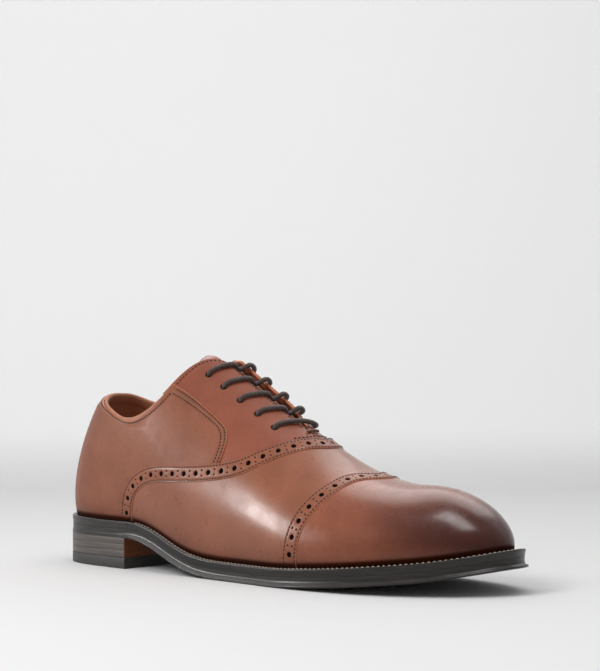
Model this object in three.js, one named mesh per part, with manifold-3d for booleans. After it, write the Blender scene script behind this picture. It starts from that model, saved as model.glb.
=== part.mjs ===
import * as THREE from 'three';
import { mergeVertices } from 'three/addons/utils/BufferGeometryUtils.js';
import Module from 'manifold-3d';

// Right-foot leather oxford, EU 42. Millimetres, Z up, toe towards +X, outer side of the foot towards -Y.
// Everything above the sole is laid out on one foot form: q runs along the sole edge from the back
// of the heel (0) to the toe (1), w runs over the foot from the outer feather edge (-1) across the
// instep ridge (0) to the inner feather edge (1), and a third number is the height above the form.

const wasm = await Module();
wasm.setup();

// ---- driving dimensions ----
const HEEL_SEAT_Z = 17.6;
const HEEL_LENGTH = 70;
const OUTSOLE = 5.2;
const WELT_TOP = 9.2;
const GAP = 0.3;
const TOP_PIECE = 6.4;
const LIFTS = 3;
const INSOLE = 2.5;
const SOCK = 1;
const LINING = [0, 0.9];
const STIFFENER = [1.4, 1.9];
const UNDER_LEATHER = [2.2, 3.1];
const OVER_LEATHER = [3.5, 4.5];
const BAND = [4.8, 5.6];
const BAND_HALF = 4.3;
const LAP = 0.022;
const EYELETS = [0.425, 0.46, 0.495, 0.53, 0.565];
const EYELET_W = 0.222;
const EYELET_R = 2.3;
const LACE_R = 1.25;
const NAILS = [[14, 0], [26, -20], [26, 20], [54, -22], [54, 22]];

// ---- sole outline, from the back of the heel to the toe ----
const OUTER_EDGE = [
  [0, 0], [3.5, -13], [12, -23.5], [28, -31], [50, -34.6], [71, -36.5], [90, -38], [110, -39.8],
  [135, -41.8], [165, -44.8], [193, -48.5], [217, -49.2], [241, -46.2], [263, -38.5], [281, -27.5],
  [293, -15], [299, -3], [300, 4],
];
const INNER_EDGE = [
  [0, 0], [3.5, 13], [12, 23.5], [28, 30.5], [50, 33.5], [71, 33.5], [100, 31.8], [125, 32.8],
  [150, 38], [173, 45], [195, 50], [217, 51], [241, 47.8], [263, 41], [281, 32], [293, 22],
  [298.5, 12.5], [300, 4],
];
// height of the underside of the outsole along the shoe: heel seat, shank, ball, toe spring
const SOLE_RISE = [
  [68, 17.6], [80, 16.8], [94, 13.2], [113, 5.8], [130, 1.5], [146, 0.2], [165, 0], [185, 0],
  [205, 1], [225, 2.4], [250, 4.8], [275, 7.8], [300, 13],
];
// centre line over the top of the foot form
const RIDGE = [
  [22, 88], [34, 105], [48, 118], [66, 126], [88, 127], [106, 122.5], [122, 112.5], [140, 100],
  [157, 88], [173.5, 75.5], [190, 63.8], [205, 55.4], [222, 50], [240, 47], [256, 46.3], [270, 43],
];
// Cross-sections of the foot form. q: place; top: x on the ridge; inset: feather behind the sole
// edge; rise and lean: reach and elevation of the side wall; span: reach of the flat top; crest:
// droop from the ridge; turn: 90 runs the top forward at the toe, -90 backward at the heel.
const SECTIONS = [
  { q: 0, top: 37, inset: 8.5, rise: 24, lean: 66, span: 12, crest: 0, turn: -90 },
  { q: 0.06, top: 39, inset: 7.9, rise: 26.5, lean: 72, span: 16.5, crest: 0, turn: -50 },
  { q: 0.14, top: 46.5, inset: 6.9, rise: 34, lean: 81.5, span: 23.5, crest: 0, turn: -14 },
  { q: 0.28, top: 72, inset: 6.5, rise: 42, lean: 84, span: 29, crest: 0, turn: 0 },
  { q: 0.375, top: 99, inset: 7, rise: 41, lean: 80, span: 24, crest: 8, turn: 0 },
  { q: 0.46, top: 124, inset: 8, rise: 36, lean: 76, span: 20.5, crest: 14, turn: 0 },
  { q: 0.55, top: 155, inset: 8.5, rise: 29, lean: 74, span: 20, crest: 12, turn: 0 },
  { q: 0.635, top: 181, inset: 8.5, rise: 23.5, lean: 73, span: 21.5, crest: 5, turn: 0 },
  { q: 0.705, top: 202, inset: 8.5, rise: 21.5, lean: 72, span: 23.5, crest: 0, turn: 2 },
  { q: 0.78, top: 222, inset: 8.6, rise: 19.5, lean: 71, span: 24.5, crest: 0, turn: 8 },
  { q: 0.85, top: 239.5, inset: 9.3, rise: 17, lean: 70.5, span: 22, crest: 0, turn: 22 },
  { q: 0.91, top: 252, inset: 10, rise: 14, lean: 70, span: 19.5, crest: 0, turn: 44 },
  { q: 0.96, top: 259.5, inset: 10.5, rise: 10.6, lean: 70, span: 16.3, crest: 0, turn: 68 },
  { q: 1, top: 263, inset: 10.8, rise: 8, lean: 70, span: 14.2, crest: 0, turn: 90 },
];

// ---- small vector and curve helpers ----
const add = (a, b, k = 1) => [a[0] + k * b[0], a[1] + k * b[1], a[2] + k * b[2]];
const cross = (a, b) => [
  a[1] * b[2] - a[2] * b[1],
  a[2] * b[0] - a[0] * b[2],
  a[0] * b[1] - a[1] * b[0],
];
const dot = (a, b) => a[0] * b[0] + a[1] * b[1] + a[2] * b[2];
const unit = (a) => {
  const l = Math.hypot(...a);
  return a.map((v) => v / l);
};
const mix = (a, b, t) => a + (b - a) * t;
const clamp = (v, lo, hi) => Math.min(hi, Math.max(lo, v));
const rad = Math.PI / 180;

// cubic spline through points; the end slopes are free where they are not given
function spline(xs, ys, startSlope, endSlope) {
  const n = xs.length;
  const a = new Array(n).fill(0);
  const b = new Array(n).fill(1);
  const c = new Array(n).fill(0);
  const r = new Array(n).fill(0);
  const h = (i) => xs[i + 1] - xs[i];
  const slope = (i) => (ys[i + 1] - ys[i]) / h(i);
  for (let i = 1; i < n - 1; i++) {
    a[i] = h(i - 1);
    b[i] = 2 * (h(i - 1) + h(i));
    c[i] = h(i);
    r[i] = 6 * (slope(i) - slope(i - 1));
  }
  if (startSlope !== undefined) {
    b[0] = 2 * h(0);
    c[0] = h(0);
    r[0] = 6 * (slope(0) - startSlope);
  }
  if (endSlope !== undefined) {
    a[n - 1] = h(n - 2);
    b[n - 1] = 2 * h(n - 2);
    r[n - 1] = 6 * (endSlope - slope(n - 2));
  }
  for (let i = 1; i < n; i++) {
    const k = a[i] / b[i - 1];
    b[i] -= k * c[i - 1];
    r[i] -= k * r[i - 1];
  }
  const m = new Array(n);
  m[n - 1] = r[n - 1] / b[n - 1];
  for (let i = n - 2; i >= 0; i--) m[i] = (r[i] - c[i] * m[i + 1]) / b[i];
  return (x) => {
    const t = clamp(x, xs[0], xs[n - 1]);
    let i = 0;
    while (i < n - 2 && t > xs[i + 1]) i++;
    const d = h(i);
    const p = (xs[i + 1] - t) / d;
    const s = 1 - p;
    const bend = (p ** 3 - p) * m[i] + (s ** 3 - s) * m[i + 1];
    return p * ys[i] + s * ys[i + 1] + bend * d * d / 6;
  };
}
const through = (points, s0, s1) => spline(points.map((p) => p[0]), points.map((p) => p[1]), s0, s1);

const riseCurve = through(SOLE_RISE, 0, 0.24);
const soleZ = (x) => Math.max(0, riseCurve(x));
const ridgeZ = through(RIDGE);
const ridgeY = (x) => {
  const u = clamp((x - 120) / 185, 0, 1);
  return 5 * u * u * (3 - 2 * u);
};
const section = {};
for (const key of ['top', 'inset', 'rise', 'lean', 'span', 'crest', 'turn']) {
  section[key] = spline(SECTIONS.map((s) => s.q), SECTIONS.map((s) => s[key]), 0, 0);
}

// one side of the sole outline, sampled evenly along its length
function outline(points, side) {
  const along = [0];
  for (let i = 1; i < points.length; i++) {
    along.push(along[i - 1] + Math.hypot(points[i][0] - points[i - 1][0], points[i][1] - points[i - 1][1]));
  }
  const fx = spline(along, points.map((p) => p[0]), 0, 0);
  const fy = spline(along, points.map((p) => p[1]), side, -side);
  const samples = [];
  const lengths = [0];
  const end = along[along.length - 1];
  for (let i = 0; i <= 1500; i++) {
    const s = end * i / 1500;
    samples.push([fx(s), fy(s)]);
    if (i) {
      const [p, q] = [samples[i - 1], samples[i]];
      lengths.push(lengths[i - 1] + Math.hypot(q[0] - p[0], q[1] - p[1]));
    }
  }
  const total = lengths[1500];
  return (q) => {
    const target = clamp(q, 0, 1) * total;
    let lo = 0;
    let hi = 1500;
    while (hi - lo > 1) {
      const mid = (lo + hi) >> 1;
      if (lengths[mid] <= target) lo = mid;
      else hi = mid;
    }
    const t = (target - lengths[lo]) / (lengths[hi] - lengths[lo]);
    return [mix(samples[lo][0], samples[hi][0], t), mix(samples[lo][1], samples[hi][1], t)];
  };
}
const edges = { '-1': outline(OUTER_EDGE, -1), 1: outline(INNER_EDGE, 1) };

// point on the sole edge, moved inwards by inset
function soleEdge(side, q, inset = 0) {
  const at = edges[side];
  const p = at(q);
  const a = at(q - 0.004);
  const b = at(q + 0.004);
  const l = Math.hypot(b[0] - a[0], b[1] - a[1]);
  const heel = clamp(q / 0.01, 0, 1);
  const toe = clamp((1 - q) / 0.01, 0, 1);
  const nx = side * (a[1] - b[1]) / l * Math.min(heel, toe) - (1 - heel) + (1 - toe);
  const ny = side * (b[0] - a[0]) / l * Math.min(heel, toe);
  const m = Math.hypot(nx, ny);
  return [p[0] - inset * nx / m, p[1] - inset * ny / m];
}

// ---- the foot form ----
function form(q, w) {
  const side = w < 0 ? -1 : 1;
  const t = 1 - Math.abs(w);
  const inset = section.inset(q);
  const [ex, ey] = soleEdge(side, q);
  const [bx, by] = soleEdge(side, q, inset);
  const lean = section.lean(q) * rad;
  const nx = (ex - bx) / inset;
  const ny = (ey - by) / inset;
  const p0 = [bx, by, soleZ(bx) + WELT_TOP + GAP];
  const p1 = add(p0, [nx * Math.cos(lean), ny * Math.cos(lean), Math.sin(lean)], section.rise(q));
  const top = section.top(q);
  const p3 = [top, ridgeY(top), ridgeZ(top)];
  const crest = section.crest(q) * rad;
  const turn = section.turn(q) * rad;
  const forward = unit([1, 0, ridgeZ(top + 0.5) - ridgeZ(top - 0.5)]);
  const across = [0, side * Math.cos(crest), -Math.sin(crest)];
  const reach = add(across.map((v) => v * Math.cos(turn)), forward, Math.sin(turn));
  const p2 = add(p3, reach, section.span(q));
  const k = [(1 - t) ** 3, 3 * (1 - t) ** 2 * t, 3 * (1 - t) * t * t, t ** 3];
  return [0, 1, 2].map((i) => k[0] * p0[i] + k[1] * p1[i] + k[2] * p2[i] + k[3] * p3[i]);
}
function normal(q, w) {
  const e = 0.003;
  const v = q < e || q > 1 - e ? -Math.max(Math.abs(w), e) : w;
  const along = add(form(Math.min(1, q + e), v), form(Math.max(0, q - e), v), -1);
  const over = add(form(q, Math.min(1, v + e)), form(q, Math.max(-1, v - e)), -1);
  return unit(cross(along, over));
}
function lifted(q, w, d) {
  const v = q < 0.003 || q > 0.997 ? -Math.abs(w) : w;
  return add(form(q, v), normal(q, v), d);
}
// share of the way down at which a layer meets the top of the welt
const footCache = new Map();
function footShare(q, side, d) {
  const key = `${q.toFixed(4)} ${side} ${d.toFixed(2)}`;
  if (!footCache.has(key)) {
    const clear = (a) => {
      const p = lifted(q, side * a, d);
      return p[2] - soleZ(p[0]) - WELT_TOP - 2 * GAP;
    };
    let lo = 0.8;
    let hi = 1;
    for (let i = 0; i < 12; i++) {
      const mid = (lo + hi) / 2;
      if (clear(mid) > 0) lo = mid;
      else hi = mid;
    }
    footCache.set(key, lo);
  }
  return footCache.get(key);
}
function onForm(q, w, d) {
  const side = w < 0 ? -1 : 1;
  let a = Math.abs(w);
  if (a > 0.75 && d > -0.5) a -= (1 - footShare(q, side, d)) * ((a - 0.75) / 0.25) ** 2;
  return lifted(q, side * a, d);
}

// ---- seam lines as q for a given w, or w for a given q ----
const vampLine = spline(
  [0, 0.11, 0.31, 0.472, 0.592, 0.674, 0.742, 0.83, 0.91, 1],
  [0.645, 0.636, 0.6, 0.552, 0.495, 0.42, 0.35, 0.285, 0.262, 0.258],
  0,
);
const capLine = spline([0, 0.16, 0.38, 0.58, 0.8, 1], [0.77, 0.747, 0.713, 0.678, 0.645, 0.634], 0);
const topLine = spline(
  [0, 0.05, 0.109, 0.15, 0.197, 0.25, 0.29, 0.34, 0.385, 0.43, 0.447],
  [0.195, 0.215, 0.335, 0.42, 0.505, 0.562, 0.54, 0.42, 0.235, 0.08, 0.052],
  0,
);
const GAP_TOP = 0.446;
const gapEdge = spline([GAP_TOP, 0.5, 0.57, 0.592, 0.604, 0.64], [0.053, 0.058, 0.052, 0.038, 0.013, 0.012], 0, 0);
// the inner facing stands further back from the ridge than the outer one, and curls up there
const FAR_BACK = 0.022;
const FAR_CURL = 2;
const ease = (x, a, b) => {
  const t = clamp((x - a) / (b - a), 0, 1);
  return t * t * (3 - 2 * t);
};
const gapSide = (q, side) => (
  gapEdge(q) + (side > 0 ? FAR_BACK * ease(q, GAP_TOP, 0.47) * (1 - ease(q, 0.555, 0.6)) : 0)
);
const seamFront = (t) => [
  spline([0, 0.25, 0.5, 0.62, 0.8, 1], [0.476, 0.487, 0.49, 0.484, 0.44, 0.36])(t),
  spline([0, 0.25, 0.5, 0.62, 0.8, 1], [0.61, 0.52, 0.445, 0.41, 0.385, 0.365])(t),
];
const liningLine = (a) => 0.62 - 0.11 * a * a;

// patch spanned by four boundary lines, each a function of 0..1 giving [q, w]
function coons(bottom, top, left, right) {
  return (u, v) => [0, 1].map((k) => {
    const ruled = mix(bottom(u)[k], top(u)[k], v) + mix(left(v)[k], right(v)[k], u);
    const low = mix(bottom(0)[k], bottom(1)[k], u);
    const high = mix(top(0)[k], top(1)[k], u);
    return ruled - mix(low, high, v);
  });
}

// ---- solids ----
function solid(positions, faces) {
  const kept = [];
  const at = (i) => positions[i];
  for (const f of faces) {
    const n = cross(add(at(f[1]), at(f[0]), -1), add(at(f[2]), at(f[0]), -1));
    if (Math.hypot(...n) > 1e-7) kept.push(f);
  }
  let volume = 0;
  for (const [i, j, k] of kept) volume += dot(at(i), cross(at(j), at(k)));
  const flat = kept.flatMap((f) => (volume < 0 ? [f[0], f[2], f[1]] : f));
  const g = new THREE.BufferGeometry();
  g.setAttribute('position', new THREE.Float32BufferAttribute(positions.flat(), 3));
  g.setIndex(flat);
  const merged = mergeVertices(g, 1e-3);
  const index = merged.getIndex().array;
  const clean = [];
  for (let i = 0; i < index.length; i += 3) {
    const [a, b, c] = [index[i], index[i + 1], index[i + 2]];
    if (a !== b && b !== c && a !== c) clean.push(a, b, c);
  }
  merged.setIndex(clean);
  merged.computeVertexNormals();
  return merged;
}
// closed body between two grids of points; fold joins the last row of the grid to itself
function slab(nu, nv, outer, inner, fold = false) {
  const positions = [];
  const faces = [];
  const width = nv + 1;
  const half = (nu + 1) * width;
  for (const f of [outer, inner]) {
    for (let i = 0; i <= nu; i++) {
      for (let j = 0; j <= nv; j++) positions.push(f(i / nu, j / nv));
    }
  }
  const id = (i, j, layer) => layer * half + i * width + j;
  const quad = (a, b, c, d) => faces.push([a, b, c], [a, c, d]);
  for (let i = 0; i < nu; i++) {
    for (let j = 0; j < nv; j++) {
      quad(id(i, j, 0), id(i + 1, j, 0), id(i + 1, j + 1, 0), id(i, j + 1, 0));
      quad(id(i, j, 1), id(i, j + 1, 1), id(i + 1, j + 1, 1), id(i + 1, j, 1));
    }
  }
  for (let i = 0; i < nu; i++) {
    quad(id(i, 0, 0), id(i, 0, 1), id(i + 1, 0, 1), id(i + 1, 0, 0));
    quad(id(i, nv, 0), id(i + 1, nv, 0), id(i + 1, nv, 1), id(i, nv, 1));
  }
  for (let j = 0; j < nv; j++) {
    quad(id(0, j, 0), id(0, j + 1, 0), id(0, j + 1, 1), id(0, j, 1));
    if (!fold) quad(id(nu, j, 0), id(nu, j, 1), id(nu, j + 1, 1), id(nu, j + 1, 0));
  }
  return solid(positions, faces);
}
// piece of material lying on the form between two heights; shape gives [q, w]
function skin(nu, nv, shape, [lo, hi], fold = false) {
  const layer = (d) => (u, v) => {
    const [q, w] = shape(u, v);
    return onForm(q, w, typeof d === 'function' ? d(u, v) : d);
  };
  return slab(nu, nv, layer(hi), layer(lo), fold);
}
// strip of the given half width along a line on the form
function strip(n, line, halfWidth, heights) {
  const shape = (u, v) => {
    const e = 0.002;
    const [q, w] = line(u);
    const a = line(Math.max(0, u - e));
    const b = line(Math.min(1, u + e));
    const dq = add(form(Math.min(1, q + e), w), form(q - e, w), -1).map((x) => x / (2 * e));
    const w0 = clamp(w - e, -1, 1);
    const w1 = clamp(w + e, -1, 1);
    const dw = add(form(q, w1), form(q, w0), -1).map((x) => x / (w1 - w0));
    const along = add(dq.map((x) => x * (b[0] - a[0])), dw, b[1] - a[1]);
    const side = unit(cross(normal(q, w), along));
    const [g, h, k] = [dot(dq, dq), dot(dq, dw), dot(dw, dw)];
    const [r, s] = [dot(side, dq), dot(side, dw)];
    const det = g * k - h * h;
    const reach = halfWidth * (2 * v - 1);
    return [q + reach * (r * k - s * h) / det, clamp(w + reach * (s * g - r * h) / det, -1, 1)];
  };
  return skin(n, 2, shape, heights);
}
// round cord along points
function cord(points, radius, steps, sides) {
  const curve = new THREE.CatmullRomCurve3(points.map((p) => new THREE.Vector3(...p)), false, 'centripetal');
  const frames = curve.computeFrenetFrames(steps, false);
  const positions = [];
  const faces = [];
  for (let i = 0; i <= steps; i++) {
    const p = curve.getPointAt(i / steps);
    for (let j = 0; j < sides; j++) {
      const a = 2 * Math.PI * j / sides;
      const v = p.clone();
      v.addScaledVector(frames.normals[i], radius * Math.cos(a));
      v.addScaledVector(frames.binormals[i], radius * Math.sin(a));
      positions.push(v.toArray());
    }
  }
  const first = positions.push(curve.getPointAt(0).toArray()) - 1;
  const last = positions.push(curve.getPointAt(1).toArray()) - 1;
  for (let j = 0; j < sides; j++) {
    const k = (j + 1) % sides;
    for (let i = 0; i < steps; i++) {
      const [a, b] = [i * sides + j, i * sides + k];
      faces.push([a, b, b + sides], [a, b + sides, a + sides]);
    }
    faces.push([first, k, j], [last, steps * sides + j, steps * sides + k]);
  }
  return solid(positions, faces);
}
function toManifold(g) {
  const numProp = 3;
  const vertProperties = new Float32Array(g.getAttribute('position').array);
  const triVerts = new Uint32Array(g.getIndex().array);
  return new wasm.Manifold(new wasm.Mesh({ numProp, vertProperties, triVerts }));
}
function cut(g, tools) {
  let body = toManifold(g);
  for (const tool of tools) body = body.subtract(toManifold(tool));
  const mesh = body.getMesh();
  const out = new THREE.BufferGeometry();
  out.setAttribute('position', new THREE.Float32BufferAttribute(Array.from(mesh.vertProperties), 3));
  out.setIndex(Array.from(mesh.triVerts));
  out.computeVertexNormals();
  return out;
}
// round pin or ring standing on the form
function pin(q, w, radius, bore, lo, hi, sides) {
  const g = new THREE.LatheGeometry(
    [[bore, 0], [radius, 0], [radius, hi - lo], [bore, hi - lo], [bore, 0]].map((p) => new THREE.Vector2(...p)),
    sides,
  );
  const n = new THREE.Vector3(...normal(q, w));
  g.applyQuaternion(new THREE.Quaternion().setFromUnitVectors(new THREE.Vector3(0, 1, 0), n));
  const p = onForm(q, w, lo);
  g.translate(...p);
  g.deleteAttribute('normal');
  g.deleteAttribute('uv');
  return solid(pointsOf(g), triangles(g));
}
function pointsOf(g) {
  const a = g.getAttribute('position').array;
  const list = [];
  for (let i = 0; i < a.length; i += 3) list.push([a[i], a[i + 1], a[i + 2]]);
  return list;
}
function triangles(g) {
  const a = g.getIndex().array;
  const list = [];
  for (let i = 0; i < a.length; i += 3) list.push([a[i], a[i + 1], a[i + 2]]);
  return list;
}

// ---- assembly ----
const group = new THREE.Group();
function place(name, geometry, color, roughness, metalness = 0) {
  const mesh = new THREE.Mesh(geometry, new THREE.MeshStandardMaterial({ color, roughness, metalness }));
  mesh.name = name;
  group.add(mesh);
}
const TAN = '#9a6a52';
const RUSSET = '#a05f49';
const TAPE = '#b07a60';
const CAP = '#6f3f2f';
const LINING_TAN = '#b9855f';
const SOLE_BROWN = '#3c3735';

// quarter: back seam, feather, under the vamp band, double-stitched front edge, topline
const feather = (side) => (u) => {
  const a = clamp(2 * u, 0, 1);
  const b = clamp(2 * u - 1, 0, 1);
  const w = mix(1, 0.61, b);
  return [u < 0.5 ? mix(0.0012, 0.268, a) : vampLine(w) + 0.01 * (1 - b), side * w];
};
const quarterShape = (side) => coons(
  feather(side),
  (u) => [mix(0.0012, 0.36, u), side * topLine(mix(0.0012, 0.36, u))],
  (v) => [0.0012, side * mix(1, topLine(0), v)],
  (v) => [seamFront(v)[0], side * seamFront(v)[1]],
);
// facing: under the quarter by a lap, then eyelet row and lacing gap
const facingShape = (side) => coons(
  (u) => {
    const w = mix(0.63, 0.012, u);
    return [vampLine(w) - 0.005 - 0.02 * (1 - u), side * w];
  },
  (u) => [mix(0.36 - LAP, GAP_TOP, u), side * topLine(mix(0.36 - LAP, GAP_TOP, u))],
  (v) => [seamFront(v)[0] - LAP, side * mix(0.63, topLine(0.36 - LAP), v) + side * 0.1 * v * (v - 1)],
  (v) => {
    const q = mix(0.64, GAP_TOP, v);
    return [q, side * gapSide(q, side)];
  },
);
const quarterLiningShape = (side) => (u, v) => {
  const q = mix(0.002, 0.6, u);
  const top = q < GAP_TOP ? topLine(q) : gapSide(Math.min(q, 0.585), side) + 0.004;
  const w = mix(1, top, v);
  return [q + (liningLine(w) - 0.605) * (u ** 4), side * w];
};
// behind the facings the wall of the shoe thins towards its rim
const RIM_DROP = 1.4;
const rimDrop = (u, v) => RIM_DROP * v ** 8 * (1 - ease(u, 0.74, 0.91));
const quarterHeights = OVER_LEATHER.map((d) => (u, v) => d - rimDrop(u, v));
const facingHeights = (side) => UNDER_LEATHER.map((d) => (u, v) => (
  d + (side > 0 ? FAR_CURL * ease(u, 0.8, 1) * ease(v, 0.3, 0.5) : 0)
));
for (const [side, label] of [[-1, 'lateral'], [1, 'medial']]) {
  const holes = EYELETS.map((q) => pin(q, side * EYELET_W, EYELET_R, 0, -1.5, 6, 10));
  place(`quarter_${label}`, skin(16, 10, quarterShape(side), quarterHeights), TAN, 0.42);
  place(`facing_${label}`, cut(skin(12, 6, facingShape(side), facingHeights(side)), holes), RUSSET, 0.42);
  place(`quarter_lining_${label}`, cut(skin(18, 7, quarterLiningShape(side), LINING), holes), LINING_TAN, 0.7);
  EYELETS.forEach((q, i) => {
    const ring = pin(q, side * EYELET_W, 3.4, EYELET_R, LINING[1] + GAP, LINING[1] + GAP + 0.5, 10);
    place(`eyelet_${label}_${i + 1}`, ring, '#6b5a3a', 0.35, 0.9);
  });
}

// vamp and toe cap, with their brogued bands
const across = (u) => mix(-1, 1, u);
place('vamp', skin(10, 20, (u, v) => {
  const w = across(v);
  const a = Math.abs(w);
  return [mix(vampLine(a) + 0.003, capLine(a) + LAP, u), w];
}, UNDER_LEATHER), TAN, 0.35);
place('toe_cap', skin(10, 20, (u, v) => {
  const w = across(v);
  return [mix(capLine(Math.abs(w)), 1, u), w];
}, OVER_LEATHER, true), CAP, 0.28);
place('vamp_band', strip(48, (u) => {
  const w = across(u);
  return [vampLine(Math.abs(w)), w];
}, BAND_HALF, BAND), TAPE, 0.42);
place('toe_cap_band', strip(28, (u) => {
  const w = across(u);
  return [capLine(Math.abs(w)), w];
}, BAND_HALF, BAND), TAPE, 0.42);
place('vamp_lining', skin(14, 20, (u, v) => {
  const w = across(v);
  return [mix(liningLine(Math.abs(w)), 1, u), w];
}, LINING, true), LINING_TAN, 0.7);

// stiffeners between lining and leather
place('toe_puff', skin(8, 20, (u, v) => {
  const w = across(v);
  return [mix(capLine(Math.abs(w)) + 0.035, 1, u), w];
}, STIFFENER, true), '#d8cdb4', 0.8);
place('heel_counter', skin(16, 4, (u, v) => {
  const s = mix(-1, 1, u);
  const q = 0.24 * Math.abs(s);
  return [q, (s < 0 ? -1 : 1) * mix(1, 0.6 + 0.12 * Math.abs(s), v)];
}, STIFFENER), '#cdbf9f', 0.8);

// rolled binding over the raw edge of the topline
place('topline_binding', (() => {
  const corner = (lift) => (u, v) => {
    const s = mix(-1, 1, u);
    const q = 0.41 * Math.abs(s);
    const clear = 0.008 + lift;
    return onForm(q, (s < 0 ? -1 : 1) * (topLine(q) - clear), mix(0.1, 3, v));
  };
  return slab(48, 1, corner(0.016), corner(0));
})(), '#5d3a2c', 0.5);

// tongue, with its rolled top standing above the facings
const TONGUE_START = 0.38;
const TONGUE_END = 0.6;
place('tongue', (() => {
  const q = (u) => mix(TONGUE_START, TONGUE_END, u ** 1.3);
  const roll = (u) => 2.3 * Math.exp(-(((q(u) - 0.408) / 0.018) ** 2));
  const shape = (u, v) => {
    const half = mix(0.25, 0.17, u) * Math.sqrt(clamp(u * 6 + 0.3, 0, 1));
    return [q(u), half * mix(-1, 1, v)];
  };
  const rise = (u) => roll(u) + 1.4 * u * u;
  return skin(20, 6, shape, [(u) => rise(u) - 5.6, (u) => rise(u) - 3.9]);
})(), RUSSET, 0.5);
place('bar_tack', cord(
  [-0.055, -0.02, 0.02, 0.055].map((w) => onForm(0.611, w, 3.2 + GAP + 0.75)),
  0.7, 8, 6,
), '#3a2419', 0.6);

// lace: one cord through all ten eyelets, straight bars outside and short runs inside. A bar is
// given from the outer eyelet to the inner one, as shares of the eyelets' place and heights: it
// arches over each facing and sags into the gap between them, and the last one spans it. The
// bars bow towards the toe.
const LACE_BAR = [
  [-1, 0.9], [-0.995, 3.1], [-0.93, 4.4], [-0.8, 4.8], [-0.5, 5.0], [-0.26, 4.9], [-0.16, 3.8],
  [-0.06, 1.7], [0.04, 1.8], [0.13, 4.4], [0.2, 6.4], [0.3, 7.1], [0.45, 7.0], [0.6, 6.4],
  [0.78, 5.4], [0.93, 4.5], [0.995, 3.1], [1, 0.9],
];
const LAST_BAR = [
  [-1, 0.9], [-0.995, 3.1], [-0.93, 4.4], [-0.8, 4.8], [-0.4, 5.0], [0, 5.2], [0.3, 5.7],
  [0.5, 5.6], [0.7, 5.3], [0.85, 4.9], [0.93, 4.5], [0.995, 3.1], [1, 0.9],
];
const BOW = [0.034, 0.034, 0.034, 0.032, 0.028];
const LACE_INSIDE = -2.1;
place('lace', (() => {
  const path = [];
  const inside = (q, side, reach) => path.push(onForm(q, side * reach * EYELET_W, LACE_INSIDE));
  inside(EYELETS[0] + 0.025, -1, 1.45);
  inside(EYELETS[0] + 0.01, -1, 1.12);
  EYELETS.forEach((q, i) => {
    const side = i % 2 ? 1 : -1;
    const last = i === EYELETS.length - 1;
    const shape = last ? LAST_BAR : LACE_BAR;
    const bar = i % 2 ? [...shape].reverse() : shape;
    path.push(onForm(q, side * EYELET_W, -0.6));
    for (const [share, d] of bar) {
      const bow = BOW[i] * (1 - share * share) * (1 + 0.5 * share);
      path.push(onForm(q + bow, share * EYELET_W, d));
    }
    path.push(onForm(q, -side * EYELET_W, -0.6));
    const next = EYELETS[i + 1];
    if (next) {
      for (const t of [0.2, 0.5, 0.8]) inside(mix(q, next, t), -side, 1.02);
    } else {
      inside(q - 0.008, -side, 1.1);
      inside(q - 0.02, -side, 1.45);
    }
  });
  return cord(path, LACE_R, 320, 5);
})(), '#3c2e2a', 0.75);

// ---- bottom: insole, sock, shank, filler, welt, rand, outsole ----
function plate(n, m, inset, q0, q1, low, high) {
  const layer = (lift) => (u, v) => {
    const q = mix(q0, q1, u);
    const margin = typeof inset === 'function' ? inset(q) : inset;
    const [a, b] = [soleEdge(-1, q, margin), soleEdge(1, q, margin)];
    const [x, y] = [mix(a[0], b[0], v), mix(a[1], b[1], v)];
    return [x, y, soleZ(x) + lift];
  };
  return slab(n, m, layer(high), layer(low));
}
const seat = WELT_TOP + GAP;
place('insole', plate(40, 2, (q) => section.inset(q) + 0.7, 0, 1, seat, seat + INSOLE), '#a98a66', 0.8);
place('sock_liner', plate(
  40, 2, (q) => section.inset(q) + 1.4, 0.004, 0.996, seat + INSOLE + GAP, seat + INSOLE + GAP + SOCK,
), LINING_TAN, 0.65);
place('outsole', plate(48, 2, 0, 0, 1, 0, OUTSOLE), SOLE_BROWN, 0.45);
place('cork_filler', plate(
  14, 2, (q) => section.inset(q) + 4, 0.5, 0.985, OUTSOLE + GAP, WELT_TOP,
), '#8f6a45', 0.95);

const WELT_JOINT = 0.262;
function ring(n, spans) {
  const layer = (lift) => (u, v) => {
    const [side, q] = spans(u);
    const [x, y] = soleEdge(side, q, v * (section.inset(q) + 3.4));
    return [x, y, soleZ(x) + lift];
  };
  return slab(n, 1, layer(WELT_TOP), layer(OUTSOLE + GAP));
}
place('welt', ring(56, (u) => (
  u < 0.5 ? [-1, mix(WELT_JOINT, 1, 2 * u)] : [1, mix(1, WELT_JOINT, 2 * u - 1)]
)), SOLE_BROWN, 0.45);
place('heel_rand', ring(24, (u) => (
  u < 0.5 ? [-1, mix(WELT_JOINT - 0.002, 0, 2 * u)] : [1, mix(0, WELT_JOINT - 0.002, 2 * u - 1)]
)), SOLE_BROWN, 0.45);

// steel shank under the arch
place('shank', slab(
  18, 1,
  (u, v) => [mix(38, 138, u), mix(-7, 7, v), soleZ(mix(38, 138, u)) + OUTSOLE + GAP + 1.6],
  (u, v) => [mix(38, 138, u), mix(-7, 7, v), soleZ(mix(38, 138, u)) + OUTSOLE + GAP],
), '#8d9094', 0.35, 0.9);

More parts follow.
